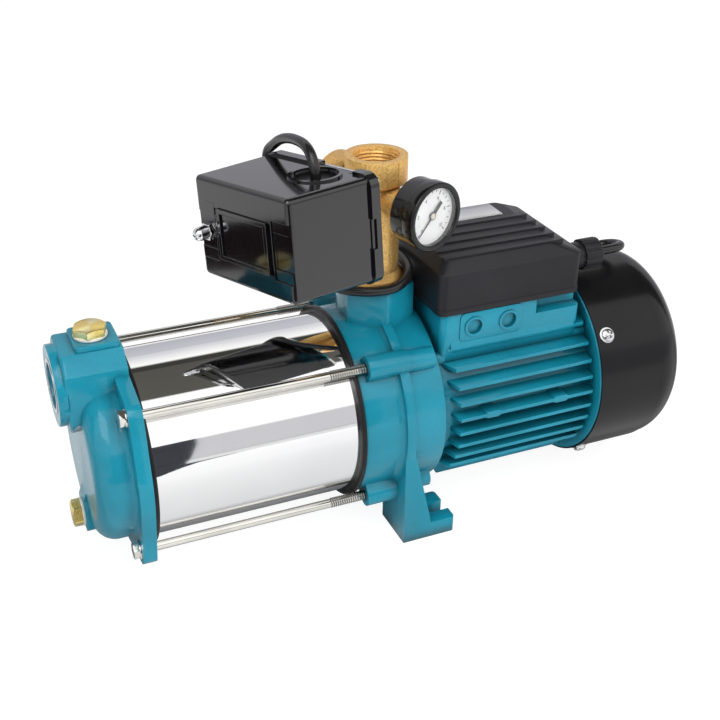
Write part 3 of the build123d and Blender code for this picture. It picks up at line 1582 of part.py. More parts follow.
# Pressure switch cover: a tapered box with a rim, open towards the manifold
collar_plane = Plane(
    origin=in_switch(switch_collar_place, switch_collar_side, 0), x_dir=switch_dir, z_dir=switch_up
)
lug_side = rim_gap_end - rim_lug_width / 2
with BuildPart() as switch_cover:
    with BuildSketch(on_switch(switch_open)):
        RectangleRounded(switch_width, switch_height, switch_corner)
    with BuildSketch(on_switch(switch_end)):
        with Locations((0, switch_end_rise)):
            RectangleRounded(switch_end_width, switch_end_height, switch_corner)
    loft()
    end_face = switch_cover.faces().sort_by(Axis((0, 0, 0), switch_dir))[-1]
    fillet(end_face.edges(), switch_edge)
    with BuildSketch(on_switch(switch_open)):
        RectangleRounded(
            switch_width + 2 * switch_rim_step, switch_height + 2 * switch_rim_step, switch_rim_corner
        )
    extrude(amount=switch_rim_length)
    with BuildSketch(on_switch(switch_open)):
        RectangleRounded(
            switch_width - 2 * switch_wall, switch_height - 2 * switch_wall, switch_corner - switch_wall
        )
    with BuildSketch(on_switch(switch_end - switch_end_wall)):
        with Locations((0, switch_end_rise)):
            RectangleRounded(
                switch_end_width - 2 * switch_wall,
                switch_end_height - 2 * switch_wall,
                switch_corner - switch_wall,
            )
    loft(mode=Mode.SUBTRACT)
    # Gap in the upper rim with a lug at its far side, and a short recess in the near rim
    rim_floor = switch_height / 2 - rim_gap_depth
    rim_top = switch_height / 2 + switch_rim_step
    with BuildSketch(on_switch(switch_open)):
        with Locations(((rim_gap_start + rim_gap_end) / 2, (rim_floor + rim_top + 1) / 2)):
            Rectangle(rim_gap_end - rim_gap_start, rim_top + 1 - rim_floor)
        with Locations((lug_side, rim_floor)):
            Rectangle(rim_lug_width / 2, rim_top - rim_floor, mode=Mode.SUBTRACT)
    extrude(amount=switch_rim_length, mode=Mode.SUBTRACT)
    recess_side = switch_width / 2 + switch_rim_step - side_recess_depth
    with BuildSketch(on_switch(side_recess_start)):
        with Locations((recess_side + 2, (side_recess_bottom + side_recess_top) / 2)):
            Rectangle(4, side_recess_top - side_recess_bottom)
    extrude(amount=side_recess_length, mode=Mode.SUBTRACT)
    # Collar that the lead enters by
    with BuildSketch(collar_plane.offset(switch_collar_foot)):
        Circle(switch_collar_r)
    extrude(amount=switch_collar_top - switch_collar_foot)
    with BuildSketch(collar_plane.offset(switch_collar_foot)):
        Circle(grommet_r + seat_gap)
    extrude(amount=switch_collar_top - switch_collar_foot, mode=Mode.SUBTRACT)
    with BuildSketch(collar_plane.offset(grommet_level)):
        Circle(grommet_seat_r)
    extrude(amount=switch_collar_top - grommet_level, mode=Mode.SUBTRACT)
    with BuildSketch(collar_plane.offset(switch_collar_top)):
        Circle(switch_collar_r - switch_collar_wall)
    extrude(amount=-switch_collar_step, mode=Mode.SUBTRACT)
    # End face: a channel across, ledges and grooves beside the raised frame, and the hole for the stud
    frame_height = frame_top - frame_bottom
    frame_middle = (frame_top + frame_bottom) / 2
    ledge_width = switch_end_width / 2 - ledge_start + 2
    with BuildSketch(on_switch(switch_end)):
        with Locations((0, (channel_top + channel_bottom) / 2)):
            Rectangle(switch_end_width + 4, channel_top - channel_bottom)
        with Locations((0, frame_middle)):
            Rectangle(2 * frame_half_width, frame_height, mode=Mode.SUBTRACT)
    extrude(amount=-channel_depth, mode=Mode.SUBTRACT)
    with BuildSketch(on_switch(switch_end)):
        for side in (-1, 1):
            with Locations((side * (ledge_start + ledge_width / 2), (ledge_top + ledge_bottom) / 2)):
                Rectangle(ledge_width, ledge_top - ledge_bottom)
    extrude(amount=-ledge_depth, mode=Mode.SUBTRACT)
    with BuildSketch(on_switch(switch_end)):
        for side in (-1, 1):
            with Locations((side * (frame_half_width + frame_groove_width / 2), frame_middle)):
                Rectangle(frame_groove_width, frame_height)
    extrude(amount=-frame_groove_depth, mode=Mode.SUBTRACT)
    with BuildSketch(on_switch(switch_end)):
        with Locations((0, frame_middle)):
            Rectangle(2 * frame_half_width, frame_height)
            Rectangle(
                2 * (frame_half_width - frame_border),
                frame_height - 2 * frame_border,
                mode=Mode.SUBTRACT,
            )
    extrude(amount=frame_step)
    with BuildSketch(on_switch(switch_end)):
        with Locations((stud_place, stud_height)):
            Circle(stud_r + free_gap)
    extrude(amount=-2 * switch_end_wall, mode=Mode.SUBTRACT)
switch_cover.part.label = "switch_cover"
export_step(switch_cover.part, "parts/switch_cover.step")

with BuildPart() as switch_grommet:
    with BuildSketch(collar_plane.offset(grommet_level)):
        Circle(grommet_seat_r - seat_gap)
    extrude(amount=grommet_height)
    with BuildSketch(collar_plane.offset(grommet_level)):
        Circle(grommet_r)
    extrude(amount=switch_collar_foot - grommet_level)
switch_grommet.part.label = "switch_grommet"
export_step(switch_grommet.part, "parts/switch_grommet.step")

# Base plate of the switch, with the nipple that screws into the manifold
plate_start = switch_open - switch_plate_thickness
with BuildPart() as switch_base:
    with BuildSketch(on_switch(plate_start)):
        RectangleRounded(
            switch_width - 2 * switch_plate_margin,
            switch_height - 2 * switch_plate_margin,
            switch_corner,
        )
        with Locations((-switch_side_shift, -switch_lift)):
            Circle(nipple_thread_r + seat_gap, mode=Mode.SUBTRACT)
    extrude(amount=switch_plate_thickness)
switch_base.part.label = "switch_base"
export_step(switch_base.part, "parts/switch_base.step")

with BuildPart() as switch_nipple:
    with BuildSketch(on_switch_port(small_boss_reach)):
        RegularPolygon(nipple_flats / 2, 6, major_radius=False)
    extrude(amount=plate_start - small_boss_reach)
    with BuildSketch(on_switch_port(small_boss_reach - small_bore_depth + 1)):
        Circle(nipple_thread_r)
    extrude(amount=plate_start + switch_plate_thickness - small_boss_reach + small_bore_depth - 1)
    with BuildSketch(on_switch_port(0)):
        Circle(small_passage_r - 1)
    extrude(amount=switch_open + 5, mode=Mode.SUBTRACT)
switch_nipple.part.label = "switch_nipple"
export_step(switch_nipple.part, "parts/switch_nipple.step")

with BuildPart() as switch_diaphragm:
    with BuildSketch(on_switch_port(switch_open)):
        Circle(diaphragm_r)
    extrude(amount=diaphragm_thickness)
switch_diaphragm.part.label = "switch_diaphragm"
export_step(switch_diaphragm.part, "parts/switch_diaphragm.step")

cap_start = switch_open + diaphragm_thickness
plunger_end = rocker_start - rocker_lift - free_gap
with BuildPart() as diaphragm_cap:
    with BuildSketch(on_switch_port(cap_start)):
        Circle(diaphragm_r - 1)
    extrude(amount=diaphragm_cap_thickness)
    with BuildSketch(on_switch_port(cap_start)):
        Circle(plunger_r)
    extrude(amount=plunger_end - cap_start)
diaphragm_cap.part.label = "diaphragm_cap"
export_step(diaphragm_cap.part, "parts/diaphragm_cap.step")

# Stud with the collar that presses on the range spring, and the acorn nut
spring_start = rocker_start + rocker_thickness + free_gap
collar_start = spring_start + spring_length
with BuildPart() as switch_stud:
    with BuildSketch(on_switch(switch_open)):
        with Locations((stud_place, stud_height)):
            Circle(stud_r)
    extrude(amount=switch_end + stud_tip - switch_open)
    with BuildSketch(on_switch(collar_start)):
        with Locations((stud_place, stud_height)):
            Circle(spring_r + spring_wire_r)
    extrude(amount=spring_collar)
switch_stud.part.label = "switch_stud"
export_step(switch_stud.part, "parts/switch_stud.step")

spring_plane = on_switch(spring_start + spring_wire_r)
spring_centre = spring_plane.from_local_coords((stud_place, stud_height, 0))
spring_rise = spring_length - 2 * spring_wire_r - seat_gap
with BuildPart() as switch_spring:
    with BuildLine():
        coil = Helix(
            pitch=spring_rise / spring_turns,
            height=spring_rise,
            radius=spring_r,
            center=spring_centre,
            direction=switch_dir,
        )
    with BuildSketch(Plane(origin=coil @ 0, z_dir=coil % 0)):
        Circle(spring_wire_r)
    sweep(is_frenet=True)
switch_spring.part.label = "switch_spring"
export_step(switch_spring.part, "parts/switch_spring.step")

nut_seat = switch_end - channel_depth
with BuildPart() as switch_nut:
    with BuildSketch(on_switch(nut_seat)):
        with Locations((stud_place, stud_height)):
            RegularPolygon(acorn_flats / 2, 6, major_radius=False)
    extrude(amount=acorn_hexagon)
    with BuildSketch(on_switch(nut_seat + acorn_hexagon)):
        with Locations((stud_place, stud_height)):
            Circle(acorn_flats / 2 - 0.6)
    extrude(amount=acorn_height - acorn_hexagon)
    dome = switch_nut.faces().sort_by(Axis((0, 0, 0), switch_dir))[-1]
    fillet(dome.edges(), acorn_flats / 2 - 1.2)
    with BuildSketch(on_switch(nut_seat)):
        with Locations((stud_place, stud_height)):
            Circle(stud_r + seat_gap)
    extrude(amount=switch_end + stud_tip + 0.5 - nut_seat, mode=Mode.SUBTRACT)
switch_nut.part.label = "switch_nut"
export_step(switch_nut.part, "parts/switch_nut.step")

# Contact block on the base, with two ears for the pin of the rocker
pin_plane = Plane(origin=in_switch(0, 0, 0), x_dir=switch_dir, z_dir=switch_up)
ear_gap_middle = (rocker_pin_place + block_place) / 2 - ear_eye_r
ear_gap_length = block_place - rocker_pin_place + 2 * ear_eye_r - contact_block_width / 2 - 1
with BuildPart() as contact_block:
    with BuildSketch(on_switch(switch_open)):
        with Locations((block_place, 0)):
            Rectangle(contact_block_width, contact_block_height)
    extrude(amount=contact_block_depth)
    with BuildSketch(pin_plane):
        with Locations((rocker_start + rocker_thickness / 2, rocker_pin_place)):
            Circle(ear_eye_r)
        with Locations((rocker_start + rocker_thickness / 2, (rocker_pin_place + block_place) / 2)):
            Rectangle(2 * ear_eye_r, block_place - rocker_pin_place)
    extrude(amount=rocker_width / 2 + rocker_side_gap + ear_thickness, both=True)
    with BuildSketch(pin_plane):
        with Locations((rocker_start + rocker_thickness / 2, ear_gap_middle)):
            Rectangle(2 * ear_eye_r + 2, ear_gap_length)
    extrude(amount=rocker_width / 2 + rocker_side_gap, both=True, mode=Mode.SUBTRACT)
    with BuildSketch(pin_plane):
        with Locations((rocker_start + rocker_thickness / 2, rocker_pin_place)):
            Circle(rocker_pin_r + running_gap)
    extrude(amount=rocker_width + ear_thickness, both=True, mode=Mode.SUBTRACT)
contact_block.part.label = "contact_block"
export_step(contact_block.part, "parts/contact_block.step")

with BuildPart() as switch_rocker:
    with BuildSketch(on_switch(rocker_start)):
        with Locations(((rocker_pin_place + rocker_end_place) / 2, 0)):
            Rectangle(rocker_pin_place - rocker_end_place, rocker_width)
        with Locations((stud_place, stud_height)):
            Circle(stud_r + rocker_hole_spare, mode=Mode.SUBTRACT)
    extrude(amount=rocker_thickness)
    with BuildSketch(pin_plane):
        with Locations((rocker_start + rocker_thickness / 2, rocker_pin_place)):
            Circle(rocker_pin_r + 1)
    extrude(amount=rocker_width / 2, both=True)
    with BuildSketch(pin_plane):
        with Locations((rocker_start + rocker_thickness / 2, rocker_pin_place)):
            Circle(rocker_pin_r)
    extrude(amount=rocker_width / 2 + rocker_side_gap + ear_thickness, both=True)
switch_rocker.part.label = "switch_rocker"
export_step(switch_rocker.part, "parts/switch_rocker.step")


def bend_radii(points):
    """Radius at each inner corner of the lead, so that its arcs use a set share of the shorter run."""
    radii = []
    for before, corner, after in zip(points, points[1:], points[2:]):
        run_in = Vector(*corner) - Vector(*before)
        run_out = Vector(*after) - Vector(*corner)
        half_turn = radians(run_in.get_angle(run_out)) / 2
        radii.append(lead_arc_share * min(run_in.length, run_out.length) / tan(half_turn))
    return radii


# The lead: up out of the grommet, round the far side of the switch and under it, past the manifold's
# foot, along the far side of the motor and round the fan cover's front into the gland
lead_end = (gland_end_x, gland_y, gland_z)
lead_exit = in_switch(switch_collar_place, lead_exit_side, grommet_level + grommet_height)
lead_low_z = gland_z - lead_low_gap
lead_points = (
    [tuple(lead_exit)]
    + [tuple(in_switch(*point)) for point in lead_loop]
    + list(lead_run)
    + [
        (108.0, 54.5, 135.0),
        (119.5, 43.5, lead_low_z - 7.0),
        (130.0, 20.0, lead_low_z - 1.0),
        (150.0, 8.0, lead_low_z - 1.0),
        (lead_far_x, lead_far_y, lead_low_z + 3.0),
        (lead_far_x - 2, gland_y, gland_z),
        lead_end,
    ]
)
with BuildPart() as lead:
    with BuildLine():
        route = FilletPolyline(*lead_points, radius=bend_radii(lead_points))
    with BuildSketch(Plane(origin=route @ 0, z_dir=route % 0)):
        Circle(lead_r)
    sweep()
lead.part.label = "lead"
export_step(lead.part, "parts/lead.step")
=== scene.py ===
import json
from math import cos, pi, radians, sin

import bmesh
import bpy
from mathutils import Matrix, Vector


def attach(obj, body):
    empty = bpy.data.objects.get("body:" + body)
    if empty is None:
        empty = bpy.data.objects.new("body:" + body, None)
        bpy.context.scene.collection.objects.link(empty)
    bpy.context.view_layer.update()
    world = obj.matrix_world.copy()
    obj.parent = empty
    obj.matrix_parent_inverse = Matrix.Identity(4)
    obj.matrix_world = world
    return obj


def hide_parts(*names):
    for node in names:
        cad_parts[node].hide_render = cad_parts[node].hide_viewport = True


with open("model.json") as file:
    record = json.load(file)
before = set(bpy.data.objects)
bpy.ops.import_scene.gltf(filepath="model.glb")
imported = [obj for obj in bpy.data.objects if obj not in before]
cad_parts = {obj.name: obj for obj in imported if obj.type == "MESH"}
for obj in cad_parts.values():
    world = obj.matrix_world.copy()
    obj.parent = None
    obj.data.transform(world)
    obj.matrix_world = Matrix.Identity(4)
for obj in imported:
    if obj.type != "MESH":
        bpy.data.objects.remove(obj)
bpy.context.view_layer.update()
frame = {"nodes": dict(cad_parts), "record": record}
scene = bpy.context.scene
MM = 0.001
UP = Vector((0, 0, 1))
AHEAD = Vector((1, 0, 0))

# Places of the CAD model, in millimetres
SHAFT_Z = 85.0
ROD_SPREAD = 50.0
ROD_PLACES = [(y, SHAFT_Z + z) for y in (-ROD_SPREAD, ROD_SPREAD) for z in (-ROD_SPREAD, ROD_SPREAD)]
ROD_HEAD_X = -207.5
SUCTION_MOUTH = Vector((-242.5, 0.0, 138.0))

# The middle of each plug's outer face, and the turn of its hexagon in degrees
PRIMING_PLUG = Vector((-215.0, 0.0, 175.5))
PRIMING_TURN = 12.0
DRAIN_PLUG = Vector((-241.0, 0.0, 39.0))
DRAIN_TURN = 20.0

# The manifold's axis, its ports and the way that the gauge and the pressure switch face
MANIFOLD = Vector((-23.0, 0.0, 0.0))
PORT_Z = 233.0
SOCKET_TOP_Z = 260.5
MANIFOLD_TURN = radians(20.4)
SWITCH_DIR = Vector((-cos(MANIFOLD_TURN), -sin(MANIFOLD_TURN), 0))
GAUGE_DIR = Vector((sin(MANIFOLD_TURN), -cos(MANIFOLD_TURN), 0))


def add_object(name, data):
    made = bpy.data.objects.new(name, data)
    scene.collection.objects.link(made)
    return made


# Camera, fitted to the photograph
def make_camera():
    place = Vector((-0.30923, -0.63798, 0.50100))
    yaw, pitch, roll = 0.40860, 0.51025, 0.00910
    image_px = 720
    focal_px = 1141.29
    look = Vector((sin(yaw) * cos(pitch), cos(yaw) * cos(pitch), -sin(pitch)))
    level = Vector((cos(yaw), -sin(yaw), 0))
    up = level.cross(look)
    right = level * cos(roll) + up * sin(roll)
    up = up * cos(roll) - level * sin(roll)
    data = bpy.data.cameras.new("camera")
    data.sensor_width = 36.0
    data.lens = focal_px * data.sensor_width / image_px
    data.clip_start = 0.01
    camera = add_object("camera", data)
    camera.matrix_world = Matrix.Translation(place) @ Matrix((right, up, -look)).transposed().to_4x4()
    scene.camera = camera


# The lead, along the points of its CAD route
LEAD_POINTS = (
    (-76.988, -32.698, 261.942),
    (-77.267, -31.949, 270.404),
    (-77.907, -21.623, 279.513),
    (-78.373, 2.583, 276.850),
    (-79.802, 20.770, 271.174),
    (-81.272, 33.329, 262.982),
    (-82.754, 38.749, 258.435),
    (-82.981, 41.366, 250.160),
    (-80.954, 35.343, 182.959),
    (-78.0, 8.0, 186.0),
    (-58.0, -18.0, 179.5),
    (-40.0, -27.5, 177.5),
    (-17.0, -28.5, 177.0),
    (-1.3, -13.0, 182.5),
    (-1.3, 20.0, 184.0),
    (-2.0, 55.0, 168.0),
    (4.0, 57.0, 143.0),
    (20.0, 53.0, 127.2),
    (88.0, 53.0, 127.2),
    (108.0, 54.5, 135.0),
    (119.5, 43.5, 157.6),
    (130.0, 20.0, 163.6),
    (150.0, 8.0, 163.6),
    (168.0, 2.0, 167.6),
    (166.0, -20.0, 173.6),
    (140.0, -20.0, 173.6),
)
LEAD_R = 3.3 * MM


def make_lead():
    data = bpy.data.curves.new("lead_flex", "CURVE")
    data.dimensions = "3D"
    data.resolution_u = 12
    data.bevel_depth = 1.0
    data.bevel_resolution = 6
    data.use_fill_caps = True
    spline = data.splines.new("NURBS")
    spline.points.add(len(LEAD_POINTS) - 1)
    for point, place in zip(spline.points, LEAD_POINTS):
        point.co = (*(Vector(place) * MM), 1)
        point.radius = LEAD_R
    spline.order_u = 3
    spline.use_endpoint_u = True
    lead = add_object("lead_flex", data)
    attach(lead, "pump")
    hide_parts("lead")
    return lead


make_camera()
lead = make_lead()


# Materials
class Nodes:
    """A node tree, with short calls for its nodes. Values are outputs, numbers or colours."""

    def __init__(self, tree):
        self.tree = tree

    def add(self, kind, **values):
        node = self.tree.nodes.new(kind)
        for key, value in values.items():
            setattr(node, key, value)
        return node

    def feed(self, socket, value):
        if hasattr(value, "is_linked"):
            self.tree.links.new(value, socket)
        elif hasattr(value, "__len__"):
            socket.default_value = (*value, 1)
        else:
            socket.default_value = value

    def split(self, vector):
        """The X, Y and Z of a vector."""
        node = self.add("ShaderNodeSeparateXYZ")
        self.feed(node.inputs[0], vector)
        return node.outputs

    def math(self, kind, a, b=0.0):
        node = self.add("ShaderNodeMath", operation=kind)
        for socket, value in zip(node.inputs, (a, b)):
            self.feed(socket, value)
        return node.outputs[0]

    def ramp(self, value, *stops):
        """A colour or level by value: stops are (place, colour or level)."""
        node = self.add("ShaderNodeValToRGB")
        self.feed(node.inputs["Fac"], value)
        line = node.color_ramp
        while len(line.elements) < len(stops):
            line.elements.new(0.5)
        for element, (place, colour) in zip(line.elements, stops):
            element.position = place
            if not hasattr(colour, "__len__"):
                colour = (colour, colour, colour)
            element.color = (*colour, 1)
        return node.outputs["Color"]

    def between(self, value, low, high, edge=0.3):
        """From low to high while the value goes from edge to 1 - edge."""
        return self.ramp(value, (edge, low), (1 - edge, high))

    def mix(self, share, a, b):
        node = self.add("ShaderNodeMix", data_type="RGBA")
        for socket, value in zip((node.inputs[0], node.inputs[6], node.inputs[7]), (share, a, b)):
            self.feed(socket, value)
        return node.outputs[2]

    def glow(self, colour=(1.0, 1.0, 1.0), strength=1.0):
        node = self.add("ShaderNodeEmission")
        self.feed(node.inputs["Color"], colour)
        self.feed(node.inputs["Strength"], strength)
        return node.outputs[0]

    def mix_shaders(self, share, a, b):
        node = self.add("ShaderNodeMixShader")
        for socket, value in zip(node.inputs, (share, a, b)):
            self.feed(socket, value)
        return node.outputs[0]


class Material(Nodes):
    """A node material with one Principled shader, and what its looks are made of."""

    def __init__(self, name):
        self.material = bpy.data.materials.new(name)
        self.material.use_nodes = True
        super().__init__(self.material.node_tree)
        self.shader = self.tree.nodes["Principled BSDF"]
        self.place = self.add("ShaderNodeTexCoord").outputs["Object"]

    def put(self, **values):
        for key, value in values.items():
            self.shader.inputs[key.replace("_", " ")].default_value = value

    def noise(self, scale, detail=2.0, rough=0.5, place=None):
        node = self.add("ShaderNodeTexNoise")
        self.feed(node.inputs["Vector"], place or self.place)
        self.feed(node.inputs["Scale"], scale)
        self.feed(node.inputs["Detail"], detail)
        self.feed(node.inputs["Roughness"], rough)
        return node.outputs["Fac"]

    def streaks(self, x, y, z):
        """Noise that is drawn out along the axes where the scale is small."""
        node = self.add("ShaderNodeMapping")
        self.feed(node.inputs["Vector"], self.place)
        node.inputs["Scale"].default_value = (x, y, z)
        return self.noise(1.0, 3.0, 0.6, node.outputs["Vector"])

    def mottled(self, value, dark, light, edge=0.3):
        """A colour that goes from dark to light with the value."""
        return self.mix(self.between(value, 0.0, 1.0, edge), dark, light)

    def painted_gap_shade(self, tone, shade_colour, distance):
        """Painted shade: the tone turns to a darker colour where other surfaces stand close."""
        gap = self.add("ShaderNodeAmbientOcclusion", samples=8)
        gap.inputs["Distance"].default_value = distance
        openness = self.ramp(gap.outputs["AO"], (0.30, 0.0), (0.85, 1.0))
        return self.mix(openness, shade_colour, tone)

    def bumps(self, *layers):
        """Bump layers (height, strength, distance in metres), the first one lowest."""
        normal = None
        for height, strength, distance in layers:
            node = self.add("ShaderNodeBump")
            self.feed(node.inputs["Strength"], strength)
            self.feed(node.inputs["Distance"], distance)
            self.feed(node.inputs["Height"], height)
            if normal:
                self.feed(node.inputs["Normal"], normal)
            normal = node.outputs["Normal"]
        self.feed(self.shader.inputs["Normal"], normal)

    def show(self, shader):
        """Puts another shader's output on the surface."""
        self.feed(self.tree.nodes["Material Output"].inputs["Surface"], shader)

    def finish(self, colour, roughness):
        self.feed(self.shader.inputs["Base Color"], colour)
        self.feed(self.shader.inputs["Roughness"], roughness)
        return self.material


def scaled(colour, factor):
    return tuple(c * factor for c in colour)


def enamel(name, colour):
    """Sprayed enamel over a casting: soft orange peel over the sand's grain, and painted shade in the
    gaps.
    """
    m = Material(name)
    broad = m.noise(22.0, 3.0)
    peel = m.noise(620.0, 3.0)
    sand = m.noise(1500.0, 2.0)
    tone = m.mottled(broad, scaled(colour, 0.88), scaled(colour, 1.08), 0.35)
    tone = m.painted_gap_shade(tone, scaled(colour, 0.28), 13 * MM)
    rough = m.between(peel, 0.28, 0.41)
    m.put(Coat_Weight=0.6, Coat_Roughness=0.10, Specular_IOR_Level=0.12)
    m.bumps((broad, 0.25, 0.0006), (peel, 0.75, 0.0004), (sand, 0.25, 0.00012))
    return m.finish(tone, rough)


def metal(name, colour, roughness, grain=(60.0, 1500.0, 1500.0), bump=0.05, spread=0.05, gap=0.0):
    """Bare metal with fine lines along the axis where grain is small, and painted shade in gaps of about
    gap.
    """
    m = Material(name)
    lines = m.streaks(*grain)
    broad = m.noise(35.0, 3.0)
    tone = m.mottled(broad, scaled(colour, 0.90), scaled(colour, 1.06))
    if gap:
        tone = m.painted_gap_shade(tone, (0.05, 0.05, 0.05), gap)
    rough = m.between(lines, roughness - spread, roughness + spread)
    m.put(Metallic=1.0)
    m.bumps((lines, bump, 0.0001))
    return m.finish(tone, rough)


def plastic(name, colour, roughness, grain=900.0, bump=0.2, coat=0.0, level=0.5):
    """Moulded plastic, rubber or a thin paint, with a fine grain."""
    m = Material(name)
    fine = m.noise(grain, 2.0)
    broad = m.noise(18.0, 3.0)
    light = tuple(c * 1.15 + 0.002 for c in colour)
    tone = m.mottled(broad, scaled(colour, 0.85), light)
    rough = m.between(broad, roughness - 0.03, roughness + 0.04)
    m.put(Coat_Weight=coat, Coat_Roughness=0.08, Specular_IOR_Level=level)
    m.bumps((fine, bump, 0.00015))
    return m.finish(tone, rough)


def cast_brass(name):
    """Sand-cast brass: a golden skin with a fine speckle, a few darker pits and painted shade in corners.
    """
    m = Material(name)
    speckle = m.noise(850.0, 3.0, 0.7)
    pits = m.noise(420.0, 3.0, 0.6)
    broad = m.noise(30.0, 2.0)
    gold = m.mottled(broad, (0.97, 0.57, 0.17), (1.0, 0.67, 0.23))
    sandy = m.mix(m.ramp(speckle, (0.42, 0.65), (0.54, 0.0)), gold, (0.60, 0.31, 0.09))
    tone = m.mix(m.ramp(pits, (0.26, 0.6), (0.36, 0.0)), sandy, (0.36, 0.17, 0.05))
    tone = m.painted_gap_shade(tone, (0.30, 0.14, 0.04), 9 * MM)
    rough = m.between(speckle, 0.28, 0.48)
    m.put(Metallic=0.60)
    m.bumps((pits, 0.35, 0.0003), (speckle, 0.65, 0.00022))
    return m.finish(tone, rough)


def turned_brass(name, centre, across):
    """Turned brass with rings about an axis through centre; across are the two axes across it."""
    ring_pitch = 0.45 * MM
    highlight_start = 0.4
    m = Material(name)
    shift = m.add("ShaderNodeMapping")
    m.feed(shift.inputs["Vector"], m.place)
    shift.inputs["Location"].default_value = scaled(centre, -MM)
    parts = m.split(shift.outputs["Vector"])
    squares = [m.math("MULTIPLY", parts[k], parts[k]) for k in across]
    radius = m.math("SQRT", m.math("ADD", *squares))
    rings = m.math("SINE", m.math("MULTIPLY", radius, 2 * pi / ring_pitch))
    worn = m.noise(260.0, 3.0)
    # Painted highlight: the tone lightens in two broad sectors round the axis, where light would catch the
    # turned face
    sweep = m.math("ARCTAN2", parts[across[0]], parts[across[1]])
    fan = m.math("SINE", m.math("ADD", m.math("MULTIPLY", sweep, 2.0), highlight_start))
    tone = m.mottled(fan, (0.92, 0.70, 0.22), (1.0, 0.90, 0.48), 0.0)
    rough = m.between(worn, 0.20, 0.32)
    m.put(Metallic=0.75)
    m.bumps((rings, 0.10, 0.00005))
    return m.finish(tone, rough)


def mirror_steel(name):
    """Mirror-polished stainless tube, with the faint streaks that polishing leaves round it."""
    m = Material(name)
    lines = m.streaks(900.0, 16.0, 16.0)
    haze = m.noise(14.0, 2.0)
    tone = m.mottled(haze, (0.86, 0.86, 0.87), (0.93, 0.93, 0.93))
    rough = m.between(lines, 0.025, 0.055)
    m.put(Metallic=1.0)
    m.bumps((lines, 0.012, 0.00005))
    return m.finish(tone, rough)


def glass(name):
    """A thin clear lens: mostly see-through, with a trace of dust."""
    m = Material(name)
    smear = m.noise(60.0, 2.0)
    m.put(Alpha=0.07)
    return m.finish(m.between(smear, 0.90, 0.98), m.between(smear, 0.02, 0.06))


TURQUOISE = (0.008, 0.262, 0.370)
ZINC = (0.84, 0.82, 0.76)
CHROME = (0.86, 0.86, 0.87)
MATT_BLACK = (0.014, 0.014, 0.017)
PAINT_BLACK = (0.006, 0.006, 0.007)
GAUGE_BLACK = (0.006, 0.006, 0.006)
SWITCH_BLACK = (0.005, 0.005, 0.006)
EVEN = (200.0, 200.0, 200.0)
materials = {
    "turquoise_paint": enamel("turquoise_enamel", TURQUOISE),
    "polished_steel": mirror_steel("mirror_stainless"),
    "zinc_steel": metal("zinc_plated_steel", ZINC, 0.08, (60.0, 900.0, 900.0), bump=0.03, spread=0.03),
    "bearing_steel": metal("ground_steel", (0.62, 0.62, 0.63), 0.16),
    "brass": cast_brass("cast_brass"),
    "rubber_black": plastic("black_rubber", (0.009, 0.009, 0.010), 0.40, 700.0, bump=0.25, level=0.28),
    "washer_white": plastic("white_fibre", (0.78, 0.78, 0.76), 0.55, 800.0),
    "stage_plastic": plastic("stage_plastic", (0.62, 0.58, 0.48), 0.45),
    "terminal_plastic": plastic("matt_black_plastic", MATT_BLACK, 0.42, 1400.0, bump=0.35, level=0.32),
    "switch_plastic": plastic("gloss_black_plastic", SWITCH_BLACK, 0.09, 90.0, bump=0.02, coat=0.60),
    "fan_cover_paint": plastic("gloss_black_paint", PAINT_BLACK, 0.22, 300.0, 0.02, coat=0.08, level=0.25),
    "gauge_black": plastic("gauge_black_paint", GAUGE_BLACK, 0.12, 500.0, 0.03, coat=0.15, level=0.35),
    "dial_white": plastic("dial_white_enamel", (0.90, 0.90, 0.90), 0.5, 1200.0, 0.05),
    "needle_black": plastic("needle_black", (0.015, 0.015, 0.015), 0.4, bump=0.05),
    "lens_glass": glass("lens_clear"),
    "bare_aluminium": metal("cast_aluminium", (0.74, 0.75, 0.76), 0.38, (400.0, 400.0, 400.0), 0.25),
    "plate_silver": metal("plate_silver", (0.80, 0.80, 0.81), 0.30, (40.0, 1200.0, 40.0)),
    "core_steel": metal("laminated_steel", (0.34, 0.35, 0.37), 0.38, (3000.0, 40.0, 40.0), 0.3),
    "copper": metal("varnished_copper", (0.70, 0.28, 0.13), 0.25, (300.0, 900.0, 900.0), 0.4),
    "fan_plastic": plastic("fan_black_plastic", (0.02, 0.02, 0.02), 0.4),
    "screw_chrome": metal("bright_chrome", CHROME, 0.09, EVEN, bump=0.03, spread=0.03, gap=1.5 * MM),
    "seal_ceramic": plastic("white_ceramic", (0.80, 0.79, 0.75), 0.2, 600.0, 0.05),
    "block_cream": plastic("cream_plastic", (0.70, 0.66, 0.54), 0.4),
}
turned = turned_brass("turned_brass", PRIMING_PLUG, (0, 1))
turned_low = turned_brass("turned_brass_low", DRAIN_PLUG, (1, 2))


def dress_cad():
    """Every CAD node gets its slot's finish."""
    for part in frame["record"]["subparts"]:
        node = frame["nodes"][part["node"]]
        finish = materials[part["material_slot"]]
        node.data.materials.clear()
        node.data.materials.append(finish)


# Widths of the softened edges, in millimetres
EDGE_WIDTHS = {
    "suction_head": 1.2,
    "discharge_bracket": 1.0,
    "motor_housing": 0.5,
    "terminal_cover": 0.5,
    "manifold": 0.5,
    "tie_bolts": 0.3,
    "motor_gland_nut": 0.4,
    "barrel_gaskets": 0.5,
    "rear_end_shield": 0.6,
    "gauge_stem": 0.3,
    "switch_nipple": 0.3,
    "switch_grommet": 0.6,
    "motor_gland": 0.4,
    "plug_washers": 0.3,
    "rating_plate": 0.1,
    "fan_cover_screws": 0.5,
    "switch_nut": 0.3,
    "switch_base": 0.5,
}


